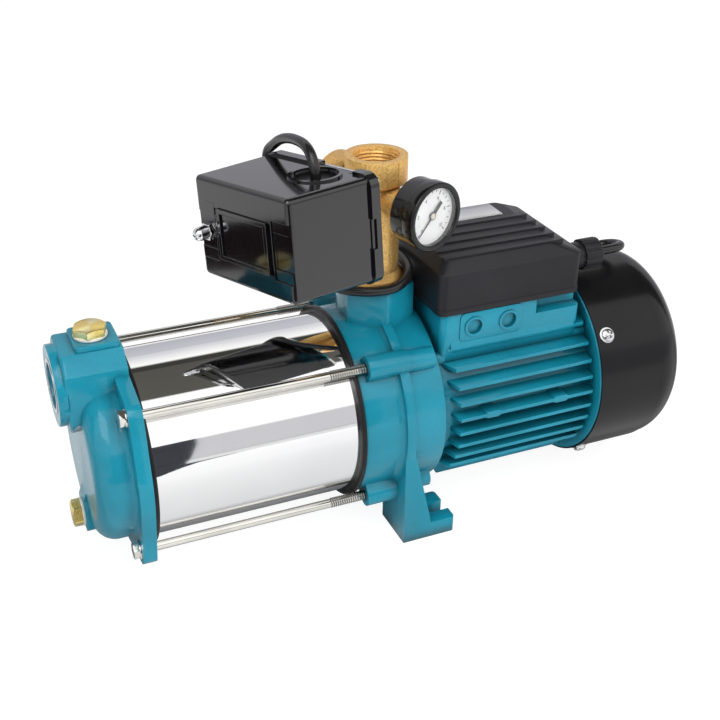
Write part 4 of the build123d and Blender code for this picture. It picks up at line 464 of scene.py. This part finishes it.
def soften_edges():
    for name, width in EDGE_WIDTHS.items():
        node = frame["nodes"][name]
        weld = node.modifiers.new("weld", "WELD")
        weld.merge_threshold = 0.02 * MM
        bevel = node.modifiers.new("bevel", "BEVEL")
        bevel.width = width * MM
        bevel.segments = 2
        bevel.limit_method = "ANGLE"
        bevel.angle_limit = radians(32)
        bevel.use_clamp_overlap = True
        bevel.harden_normals = True
        bevel.miter_outer = "MITER_SHARP"
        for face in node.data.polygons:
            face.use_smooth = True


dress_cad()
soften_edges()
jacket = plastic("lead_jacket", (0.011, 0.011, 0.012), 0.24, 500.0, 0.05)
lead.data.materials.append(jacket)


# Detail pieces: built from closed meshes in a local frame, in millimetres
def local(origin, z_axis, x_axis=UP):
    """The matrix of a frame at origin with its Z along z_axis and its X towards x_axis."""
    z = Vector(z_axis).normalized()
    x = Vector(x_axis)
    x = (x - z * x.dot(z)).normalized()
    turn = Matrix((x, z.cross(x), z)).transposed().to_4x4()
    return Matrix.Scale(MM, 4) @ Matrix.Translation(Vector(origin)) @ turn


def piece(name, spot, vertices, faces, slot, body="pump", finish=None, smooth=True):
    """A closed mesh at a spot that rides on a body and has a slot's finish."""
    same_place = 0.0005
    mesh = bpy.data.meshes.new(name)
    mesh.from_pydata([tuple(v) for v in vertices], [], faces)
    shape = bmesh.new()
    shape.from_mesh(mesh)
    bmesh.ops.remove_doubles(shape, verts=shape.verts, dist=same_place)
    bmesh.ops.dissolve_degenerate(shape, edges=shape.edges, dist=same_place)
    bmesh.ops.recalc_face_normals(shape, faces=shape.faces)
    shape.to_mesh(mesh)
    shape.free()
    mesh.transform(spot)
    if smooth:
        mesh.shade_smooth()
        mesh.set_sharp_from_angle(angle=radians(35))
    mesh.materials.append(finish or materials[slot])
    made = add_object(name, mesh)
    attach(made, body)
    return made


def join(*shapes):
    """One list of vertices and faces from several."""
    vertices, faces = [], []
    for more_vertices, more_faces in shapes:
        start = len(vertices)
        vertices += [Vector(v) for v in more_vertices]
        faces += [tuple(start + k for k in face) for face in more_faces]
    return vertices, faces


def lathe(profile, segments=64):
    """A closed ring or disc from the points (radius, height) of its section."""
    count = len(profile)
    vertices = []
    for k in range(segments):
        turn = 2 * pi * k / segments
        vertices += [(r * cos(turn), r * sin(turn), h) for r, h in profile]
    faces = []
    for k in range(segments):
        here, after = k * count, (k + 1) % segments * count
        for n in range(count):
            m = (n + 1) % count
            if profile[n][0] > 0 or profile[m][0] > 0:
                faces.append((here + n, after + n, after + m, here + m))
    return vertices, faces


def stack(top, rings, bottom):
    """A closed skin from a top point down over rings of points to a bottom point."""
    around = len(rings[0])
    vertices = [top]
    for ring in rings:
        vertices += ring
    vertices.append(bottom)
    faces = [(0, 1 + k, 1 + (k + 1) % around) for k in range(around)]
    for n in range(len(rings) - 1):
        here, after = 1 + n * around, 1 + (n + 1) * around
        for k in range(around):
            m = (k + 1) % around
            faces.append((here + k, after + k, after + m, here + m))
    last, end = 1 + (len(rings) - 1) * around, len(vertices) - 1
    faces += [(last + k, end, last + (k + 1) % around) for k in range(around)]
    return vertices, faces


def helix(base_r, crest_r, pitch, length, steps):
    """A screw thread as a ridge wound on a cylinder, with a triangular section."""
    half_foot = pitch * 0.48
    vertices, faces = [], []
    total = int(length / pitch * steps)
    for k in range(total + 1):
        turn = 2 * pi * k / steps
        height = pitch * k / steps
        for r, h in ((base_r, -half_foot), (crest_r, 0), (base_r, half_foot)):
            vertices.append((r * cos(turn), r * sin(turn), height + h))
        if k:
            here, before = 3 * k, 3 * (k - 1)
            for n in range(3):
                m = (n + 1) % 3
                faces.append((before + n, here + n, here + m, before + m))
    faces += [(0, 1, 2), (3 * total, 3 * total + 2, 3 * total + 1)]
    return vertices, faces


def prism(outline, low, high):
    """A flat outline of points (x, y) raised from low to high."""
    count = len(outline)
    vertices = [(x, y, low) for x, y in outline] + [(x, y, high) for x, y in outline]
    faces = [tuple(range(count))[::-1], tuple(range(count, 2 * count))]
    faces += [(n, (n + 1) % count, count + (n + 1) % count, count + n) for n in range(count)]
    return vertices, faces


def turned_outline(outline, angle):
    return [(x * cos(angle) - y * sin(angle), x * sin(angle) + y * cos(angle)) for x, y in outline]


def turns(count):
    return [2 * pi * k / count for k in range(count)]


# Tie rods: rolled thread before the bracket's bosses, and a washer under each head
THREAD_START_X = -76.0
THREAD_LENGTH = 25.0
ROD_WASHER_BORE = 3.2
ROD_WASHER_R = 6.4
ROD_WASHER_H = 0.9
washer_section = [
    (ROD_WASHER_BORE, 0), (ROD_WASHER_R - 0.1, 0), (ROD_WASHER_R, 0.3),
    (ROD_WASHER_R - 0.1, ROD_WASHER_H), (ROD_WASHER_BORE, ROD_WASHER_H),
]
# The thread's steel is the zinc steel darkened: painted shade of its grooves
shaded_thread_steel = metal("shaded_thread_steel", (0.34, 0.33, 0.30), 0.14, (300.0, 300.0, 300.0))
for n, (y, z) in enumerate(ROD_PLACES):
    rod = local((THREAD_START_X, y, z), AHEAD)
    ridge = helix(base_r=2.7, crest_r=3.55, pitch=1.6, length=THREAD_LENGTH, steps=20)
    piece(f"rod_thread_{n}", rod, *ridge, "zinc_steel", finish=shaded_thread_steel)
    seat = local((ROD_HEAD_X, y, z), -AHEAD)
    piece(f"rod_washer_{n}", seat, *lathe(washer_section, 40), "zinc_steel")


# Plugs: hexagon heads turned to a cone on top, on a threaded shank
def hex_radius(flats, angle, turn):
    off = (angle - turn) % (pi / 3) - pi / 6
    return flats / 2 / cos(off)


def plug(flats, turn, head, shank_r, shank_length):
    """The plug stands on its head's underside, with the shank below."""
    cone_slope = 0.58
    cone_share = 0.95
    point_length = 1.0
    point_depth = 0.9
    angles = turns(96)
    top_r = flats / 2 * cone_share
    edge = [hex_radius(flats, t, turn) for t in angles]
    levels = (
        [(top_r, head) for _ in angles],
        [(r, head - (r - top_r) * cone_slope) for r in edge],
        [(r, 0.0) for r in edge],
        [(shank_r, 0.0) for _ in angles],
        [(shank_r, point_length - shank_length) for _ in angles],
        [(shank_r - point_depth, -shank_length) for _ in angles],
    )
    rings = [[(r * cos(t), r * sin(t), h) for (r, h), t in zip(level, angles)] for level in levels]
    body = stack((0, 0, head), rings, (0, 0, -shank_length))
    thread_pitch = 1.34
    thread_sunk = 0.1
    thread_crest = 0.35
    thread_start = 1.4
    thread_end = 2.6
    thread_length = shank_length - thread_start - thread_end
    wound, faces = helix(shank_r - thread_sunk, shank_r + thread_crest, thread_pitch, thread_length, 48)
    return join(body, ([(x, y, h - shank_length + thread_start) for x, y, h in wound], faces))


PRIMING_HEAD = 5.5
shape = plug(19.0, radians(PRIMING_TURN), PRIMING_HEAD, shank_r=8.0, shank_length=11.5)
spot = local(PRIMING_PLUG - UP * PRIMING_HEAD, UP, AHEAD)
made = piece("priming_plug_shape", spot, *shape, "brass", body="priming_plug", finish=turned)
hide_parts("priming_plug")
DRAIN_HEAD = 6.0
shape = plug(17.0, radians(DRAIN_TURN), DRAIN_HEAD, shank_r=6.3, shank_length=10.5)
spot = local(DRAIN_PLUG + AHEAD * DRAIN_HEAD, -AHEAD, UP)
made = piece("drain_plug_shape", spot, *shape, "brass", body="drain_plug", finish=turned_low)
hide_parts("drain_plug")


# Pipe threads: delivery socket, third port and suction port
PIPE_PITCH = 2.31
PIPE_ROOT_R = 15.3
PIPE_CREST_R = 14.35
PIPE_CHAMFER = 2.2
PIPE_THREAD_LENGTH = 12.5
PIPE_THREAD_BEGINS = (1, 0.3, 0.2)
SIDE_PORT_REACH = 38.0
side_mouth = MANIFOLD + UP * PORT_Z - GAUGE_DIR * SIDE_PORT_REACH
threads = (
    ("delivery_thread", MANIFOLD + UP * SOCKET_TOP_Z, -UP, "brass"),
    ("side_thread", side_mouth, GAUGE_DIR, "brass"),
    ("suction_thread", SUCTION_MOUTH, AHEAD, "bearing_steel"),
)
for name, mouth, inward, slot in threads:
    bore = local(mouth + inward * PIPE_CHAMFER, inward, PIPE_THREAD_BEGINS)
    ridge = helix(PIPE_ROOT_R, PIPE_CREST_R, PIPE_PITCH, PIPE_THREAD_LENGTH, 48)
    piece(name, bore, *ridge, slot)

# Machined land round the suction port
land = lathe([(15.0, -0.6), (17.6, -0.6), (17.6, 0.12), (17.2, 0.2), (15.6, 0.2), (15.0, -0.4)])
piece("suction_land", local(SUCTION_MOUTH, -AHEAD), *land, "bearing_steel")

# Parting line of the manifold's casting, in the plane of the gauge, as stretches (low, high, radius)
PARTING_STRETCHES = ((182.5, 219.5, 15.75), (245.0, 259.8, 20.5))
PARTING_SUNK = 0.3
PARTING_SECTION = [(-0.35, 0), (0.35, 0), (0.2, 0.62), (-0.2, 0.62)]
for side in (1, -1):
    for low, high, r in PARTING_STRETCHES:
        foot = MANIFOLD + GAUGE_DIR * side * (r - PARTING_SUNK)
        spot = local(foot, UP, GAUGE_DIR.cross(UP) * side)
        piece(f"parting_{side + 1}_{int(low)}", spot, *prism(PARTING_SECTION, low, high), "brass")


# Gauge: case, rolled bezel, printed scale with plain numbers, and a needle with a broad tail
DIAL_REACH = 49.0
DIAL = MANIFOLD + UP * PORT_Z + GAUGE_DIR * DIAL_REACH
DIAL_FRAME = local(DIAL, GAUGE_DIR, -SWITCH_DIR)
CASE_R = 21.4
CASE_WALL = 1.2
CASE_BACK = -15.0
CASE_FLOOR = -13.6
CASE_RIM = 0.4
case_section = [
    (0, CASE_BACK), (CASE_R - 1.0, CASE_BACK), (CASE_R - 0.3, CASE_BACK + 0.3),
    (CASE_R, CASE_BACK + 1.0), (CASE_R, CASE_RIM), (CASE_R - CASE_WALL, CASE_RIM),
    (CASE_R - CASE_WALL, CASE_FLOOR), (0, CASE_FLOOR),
]
case = piece("gauge_can", DIAL_FRAME, *lathe(case_section, 128), "gauge_black")
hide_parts("gauge_case")
RING_R = 22.3
RING_BORE = 21.5
RING_BACK = -3.5
RING_TOP = 5.5
WINDOW_R = 18.6
ring_section = [
    (RING_BORE, RING_BACK), (RING_R - 0.2, RING_BACK), (RING_R, RING_BACK + 0.3),
    (RING_R, RING_TOP - 1.4), (RING_R - 0.15, RING_TOP - 0.7), (RING_R - 0.6, RING_TOP - 0.2),
    (RING_R - 1.2, RING_TOP), (WINDOW_R + 1.2, RING_TOP), (WINDOW_R + 0.4, RING_TOP - 0.4),
    (WINDOW_R, RING_TOP - 1.0), (WINDOW_R, 0.0), (RING_BORE, 0.0),
]
bezel = piece("bezel_ring", DIAL_FRAME, *lathe(ring_section, 128), "gauge_black")
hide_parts("gauge_bezel")
PANE_R = 18.8
PANE_LOW, PANE_HIGH = 3.5, 4.1
pane = lathe([(0, PANE_LOW), (PANE_R, PANE_LOW), (PANE_R, PANE_HIGH), (0, PANE_HIGH)], 96)
lens = piece("lens_pane", DIAL_FRAME, *pane, "lens_glass")
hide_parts("gauge_lens")
FACE_BORE = 1.3
FACE_R = 18.9
FACE_LOW, FACE_H = 0.2, 0.8
face_section = [(FACE_BORE, FACE_LOW), (FACE_R, FACE_LOW), (FACE_R, FACE_H), (FACE_BORE, FACE_H)]
dial = piece("dial_face", DIAL_FRAME, *lathe(face_section, 96), "dial_white")
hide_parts("gauge_dial")

# The scale, in degrees, and the marks on it as (inner radius, half width)
SCALE_START = 225.0
SCALE_SPAN = 270.0
SCALE_R = 16.6
SCALE_STEPS = 20
NUMBER_STEPS = 5
NUMBER_R = 11.8
PRINT_H = 0.06
LONG_TICK = (14.2, 0.30)
MIDDLE_TICK = (14.7, 0.24)
SHORT_TICK = (15.1, 0.18)
ticks = []
for n in range(SCALE_STEPS + 1):
    angle = radians(SCALE_START - SCALE_SPAN * n / SCALE_STEPS)
    inner, half = (LONG_TICK, SHORT_TICK, MIDDLE_TICK, SHORT_TICK)[n % 4]
    outline = [(inner, -half), (SCALE_R, -half), (SCALE_R, half), (inner, half)]
    ticks.append(prism(turned_outline(outline, angle), FACE_H, FACE_H + PRINT_H))
piece("dial_ticks", DIAL_FRAME, *join(*ticks), "needle_black", smooth=False)


def number(text, angle):
    """A plain number of the scale, as a flat solid on the dial."""
    data = bpy.data.curves.new(f"number_{text}", "FONT")
    data.body = text
    data.size = 3.4
    data.align_x = "CENTER"
    data.align_y = "CENTER"
    data.extrude = PRINT_H / 2
    made = add_object(f"number_{text}", data)
    spot = Matrix.Translation((NUMBER_R * cos(angle), NUMBER_R * sin(angle), FACE_H + PRINT_H / 2))
    made.matrix_world = DIAL_FRAME @ spot
    data.materials.append(materials["needle_black"])
    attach(made, "pump")


for n in range(NUMBER_STEPS + 1):
    number(str(2 * n), radians(SCALE_START - SCALE_SPAN * n / NUMBER_STEPS))

# The needle's blade and tail lie flat over the dial, on a spindle
NEEDLE_LOW, NEEDLE_HIGH = 1.7, 2.0
BLADE = [(0, -0.75), (16.8, -0.18), (16.8, 0.18), (0, 0.75)]
TAIL = [(0, -0.8), (-2.8, -1.25), (-10.8, -1.25), (-10.8, 1.25), (-2.8, 1.25), (0, 0.8)]
at_zero = radians(SCALE_START)
blade = prism(turned_outline(BLADE, at_zero), NEEDLE_LOW, NEEDLE_HIGH)
tail = prism(turned_outline(TAIL, at_zero), NEEDLE_LOW, NEEDLE_HIGH)
spindle = lathe([(0, -12.0), (0.9, -12.0), (0.9, 1.8), (0, 1.8)], 24)
collar = lathe([(0, 1.6), (2.7, 1.6), (2.7, 2.2), (0, 2.2)], 40)
shape = join(blade, tail, spindle, collar)
needle = piece("needle_shape", DIAL_FRAME, *shape, "needle_black", body="needle")
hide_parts("gauge_needle")
hub = lathe([(0, 2.1), (2.0, 2.1), (1.95, 2.5), (1.5, 2.8), (0, 2.9)], 40)
piece("needle_hub", DIAL_FRAME, *hub, "block_cream", body="needle")


# Pressure switch: the rounded edges of the steps on its end face. A reach is from the manifold's axis.
SWITCH_ROLL = radians(5.4)
SWITCH_SIDE = GAUGE_DIR * cos(SWITCH_ROLL) + UP * sin(SWITCH_ROLL)
SWITCH_UP = UP * cos(SWITCH_ROLL) - GAUGE_DIR * sin(SWITCH_ROLL)
SWITCH_ASIDE = 3.5
SWITCH_BELOW = 3.8
SWITCH_CENTRE = MANIFOLD + UP * PORT_Z - SWITCH_SIDE * SWITCH_ASIDE - SWITCH_UP * SWITCH_BELOW
SWITCH_FRAME = local(SWITCH_CENTRE, SWITCH_DIR, SWITCH_SIDE)

# The panel's outer and inner frame as (half width, low, high), and the steps beside it
PANEL_FRAMES = ((23.5, -15.0, 17.0), (21.0, -12.5, 14.5))
PANEL_REACH = 107.7
LEDGE_LOW, LEDGE_HIGH = -17.5, 19.5
LEDGE_REACH = 106.5
CHANNEL_LOW, CHANNEL_HIGH = -10.5, 12.3
CHANNEL_REACH = 105.7
STEP_INNER, STEP_OUTER = 27.0, 41.5
BEAD_R = 0.28


def bead(start, end):
    """A thin round bar between two points."""
    start, end = Vector(start), Vector(end)
    turn = (end - start).to_track_quat("Z", "Y").to_matrix()
    length = (end - start).length
    vertices, faces = lathe([(0, 0), (BEAD_R, 0), (BEAD_R, length), (0, length)], 10)
    return [start + turn @ Vector(v) for v in vertices], faces


def switch_edges():
    bars = []
    for half, low, high in PANEL_FRAMES:
        outline = ((-half, low), (half, low), (half, high), (-half, high))
        corners = [(x, y, PANEL_REACH) for x, y in outline]
        bars += [bead(corners[k], corners[(k + 1) % 4]) for k in range(4)]
    levels = (
        (LEDGE_HIGH, LEDGE_REACH), (LEDGE_LOW, LEDGE_REACH),
        (CHANNEL_HIGH, CHANNEL_REACH), (CHANNEL_LOW, CHANNEL_REACH),
    )
    for level, reach in levels:
        for side in (-1, 1):
            bars.append(bead((side * STEP_INNER, level, reach), (side * STEP_OUTER, level, reach)))
    for side in (-1, 1):
        x = side * STEP_INNER
        bars.append(bead((x, LEDGE_LOW, LEDGE_REACH), (x, LEDGE_HIGH, LEDGE_REACH)))
    return join(*bars)


piece("switch_edges", SWITCH_FRAME, *switch_edges(), "switch_plastic")


# Cross-head screws of the fan cover, each on a washer
SCREW_COUNT = 4
SCREW_X = 129.0
SCREW_R = 75.5
SCREW_TURN = 36.0
WASHER_SECTION = [(1.9, -2.3), (5.6, -2.3), (5.6, -1.7), (5.2, -1.5), (1.9, -1.5)]


def cross_head(radius, rise, recess, arm, reach):
    """A domed head with a cross pressed into it: arm is half the width of an arm, reach its length."""
    around, rings = turns(64), 20
    underside = -0.4
    rim_drop = 0.8
    cross_taper = 0.5
    dome = []
    for k in range(1, rings + 1):
        r = radius * k / rings
        ring = []
        for turn in around:
            x, y = r * cos(turn), r * sin(turn)
            height = rise * (1 - (r / radius) ** 2 * rim_drop)
            if min(abs(x), abs(y)) < arm and r < reach:
                height -= recess * (1 - cross_taper * r / reach)
            ring.append((x, y, height))
        dome.append(ring)
    foot = [(radius * cos(turn), radius * sin(turn), underside) for turn in around]
    return stack((0, 0, rise - recess), [*dome, foot], (0, 0, underside))


for n in range(SCREW_COUNT):
    turn = radians(SCREW_TURN + 360 / SCREW_COUNT * n)
    outward = Vector((0, -cos(turn), sin(turn)))
    spot = local(Vector((SCREW_X, 0, SHAFT_Z)) + outward * SCREW_R, outward, (1, 0, 0.4))
    head = cross_head(radius=4.1, rise=1.4, recess=1.6, arm=0.75, reach=2.9)
    piece(f"screw_head_{n}", spot, *head, "screw_chrome")
    piece(f"screw_washer_{n}", spot, *lathe(WASHER_SECTION, 40), "screw_chrome")


# Studio, in metres: a pale table before a bright room, and dark things that only the shiny parts show
TABLE_SIZE = 6.0
TABLE_Z = -0.0002
TABLE_EDGE_Y = -0.90
DARK_GREY = (0.055, 0.056, 0.068)
BROWN = (0.030, 0.009, 0.008)


def panel(name, corners):
    """One flat face of the studio."""
    mesh = bpy.data.meshes.new(name)
    mesh.from_pydata(corners, [], [tuple(range(len(corners)))])
    return add_object(name, mesh)


def make_floor():
    """Matt in plain light. Shiny parts see a glow: painted shadow by the pump, pale to its edge, grey
    beyond.
    """
    half = TABLE_SIZE / 2
    floor = panel("floor", [(-half, -half, 0), (half, -half, 0), (half, half, 0), (-half, half, 0)])
    floor.location.z = TABLE_Z
    m = Material("studio_floor")
    grain = m.noise(3.0, 2.0)
    tone = m.ramp(grain, (0.0, 0.86), (1.0, 0.90))
    rough = m.ramp(grain, (0.0, 0.75), (1.0, 0.85))
    m.finish(tone, rough)
    y = m.split(m.place)["Y"]
    away = m.math("SUBTRACT", TABLE_EDGE_Y, y)
    beyond = m.ramp(away, (0.0, 1.15), (0.004, 0.05), (0.030, 0.05), (0.034, 0.62))
    beyond.node.color_ramp.interpolation = "CONSTANT"
    # Painted shadow: the glow that shiny parts see is dark under the pump and brightens away from it
    under = m.ramp(m.math("ABSOLUTE", y), (0.0, 0.0), (0.045, 0.0), (0.060, 0.70), (0.30, 1.0))
    glow_with_painted_shadow = m.glow(m.mix(under, (0.03, 0.03, 0.035), beyond))
    rays = m.add("ShaderNodeLightPath").outputs
    for_shiny = m.math("MULTIPLY", rays["Is Glossy Ray"], 0.55)
    for_camera = m.math("MULTIPLY", rays["Is Camera Ray"], 0.75)
    lit = m.mix_shaders(for_shiny, m.shader.outputs[0], glow_with_painted_shadow)
    m.show(m.mix_shaders(for_camera, lit, m.glow(strength=1.2)))
    floor.data.materials.append(m.material)


def make_card(name, corners, colour):
    """A dark thing of the room that only shows in what is shiny."""
    card = panel(name, corners)
    card.visible_camera = False
    card.visible_diffuse = False
    card.visible_shadow = False
    card.visible_transmission = False
    m = Material(name)
    tone = m.between(m.noise(6.0, 2.0), scaled(colour, 0.85), scaled(colour, 1.15))
    m.show(m.glow(tone))
    card.data.materials.append(m.material)


# What shiny parts see of the room, by the angle round the pump's long axis: from BAND_SPAN radians
# in front of straight up, at 0, to as far behind it, at 1
BAND_SPAN = 2.0
ROOM_BANDS = (
    (0.000, (0.66, 0.66, 0.68)),
    (0.194, (0.66, 0.66, 0.68)),
    (0.200, (1.20, 1.20, 1.20)),
    (0.443, (1.20, 1.20, 1.20)),
    (0.449, (0.105, 0.103, 0.090)),
    (0.625, (0.095, 0.093, 0.082)),
    (0.632, (0.048, 0.047, 0.042)),
    (0.662, (0.048, 0.047, 0.042)),
    (0.674, (1.10, 1.10, 1.06)),
    (0.730, (0.84, 0.84, 0.86)),
    (0.770, (0.60, 0.60, 0.65)),
    (1.000, (0.42, 0.42, 0.47)),
)
PLAIN_LIGHT = (0.55, 0.55, 0.56)
WHITE = (1.0, 1.0, 1.0)


def make_world():
    """White for the camera, plain light for matt surfaces and the room's bands for shiny ones."""
    world = bpy.data.worlds.new("studio")
    scene.world = world
    world.use_nodes = True
    n = Nodes(world.node_tree)
    parts = n.split(n.add("ShaderNodeTexCoord").outputs["Generated"])
    share = n.add("ShaderNodeMapRange")
    share.inputs["From Min"].default_value = -BAND_SPAN
    share.inputs["From Max"].default_value = BAND_SPAN
    n.feed(share.inputs["Value"], n.math("ARCTAN2", parts["Y"], parts["Z"]))
    bands = n.ramp(share.outputs["Result"], *ROOM_BANDS)
    rays = n.add("ShaderNodeLightPath").outputs
    lit = n.mix(rays["Is Glossy Ray"], PLAIN_LIGHT, bands)
    n.feed(n.tree.nodes["Background"].inputs["Color"], n.mix(rays["Is Camera Ray"], lit, WHITE))


def make_light(name, place, size, power, shows):
    """An area lamp aimed at the pump; shows is whether shiny parts mirror it."""
    aim = Vector((0, 0, 0.1))
    data = bpy.data.lights.new(name, "AREA")
    data.shape = "RECTANGLE"
    data.size, data.size_y = size
    data.energy = power
    lamp = add_object(name, data)
    lamp.location = place
    lamp.rotation_euler = (aim - Vector(place)).to_track_quat("-Z", "Y").to_euler()
    lamp.visible_glossy = shows


# The cards: a stand as (x, z) across the room, a corner and a shelf as (x, y) just over the table
STAND_Y = -1.2
STAND = [
    (-0.60, 0.0), (0.043, 0.0), (0.050, 0.08), (0.061, 0.27),
    (0.072, 0.40), (0.082, 0.55), (-0.60, 0.55),
]
CORNER_Z = 0.003
CORNER = [
    (-0.60, -0.33), (-0.134, -0.401), (-0.026, -0.749), (0.064, -0.851),
    (-0.02, -0.87), (0.043, -1.19), (-0.60, -1.19),
]
SHELF_Z = 0.004
SHELF = [(-0.371, 0.421), (-0.639, 0.0), (-0.749, 0.069), (-0.481, 0.491)]

make_floor()
make_world()
make_card("dark_stand", [(x, STAND_Y, z) for x, z in STAND], DARK_GREY)
make_card("dark_corner", [(x, y, CORNER_Z) for x, y in CORNER], DARK_GREY)
make_card("brown_shelf", [(x, y, SHELF_Z) for x, y in SHELF], BROWN)
make_light("key", (-0.7, -0.9, 1.5), (1.0, 1.0), 7.5, shows=True)
make_light("fill", (0.30, -1.40, 1.15), (1.4, 1.0), 14.5, shows=False)
scene.view_settings.view_transform = "Standard"
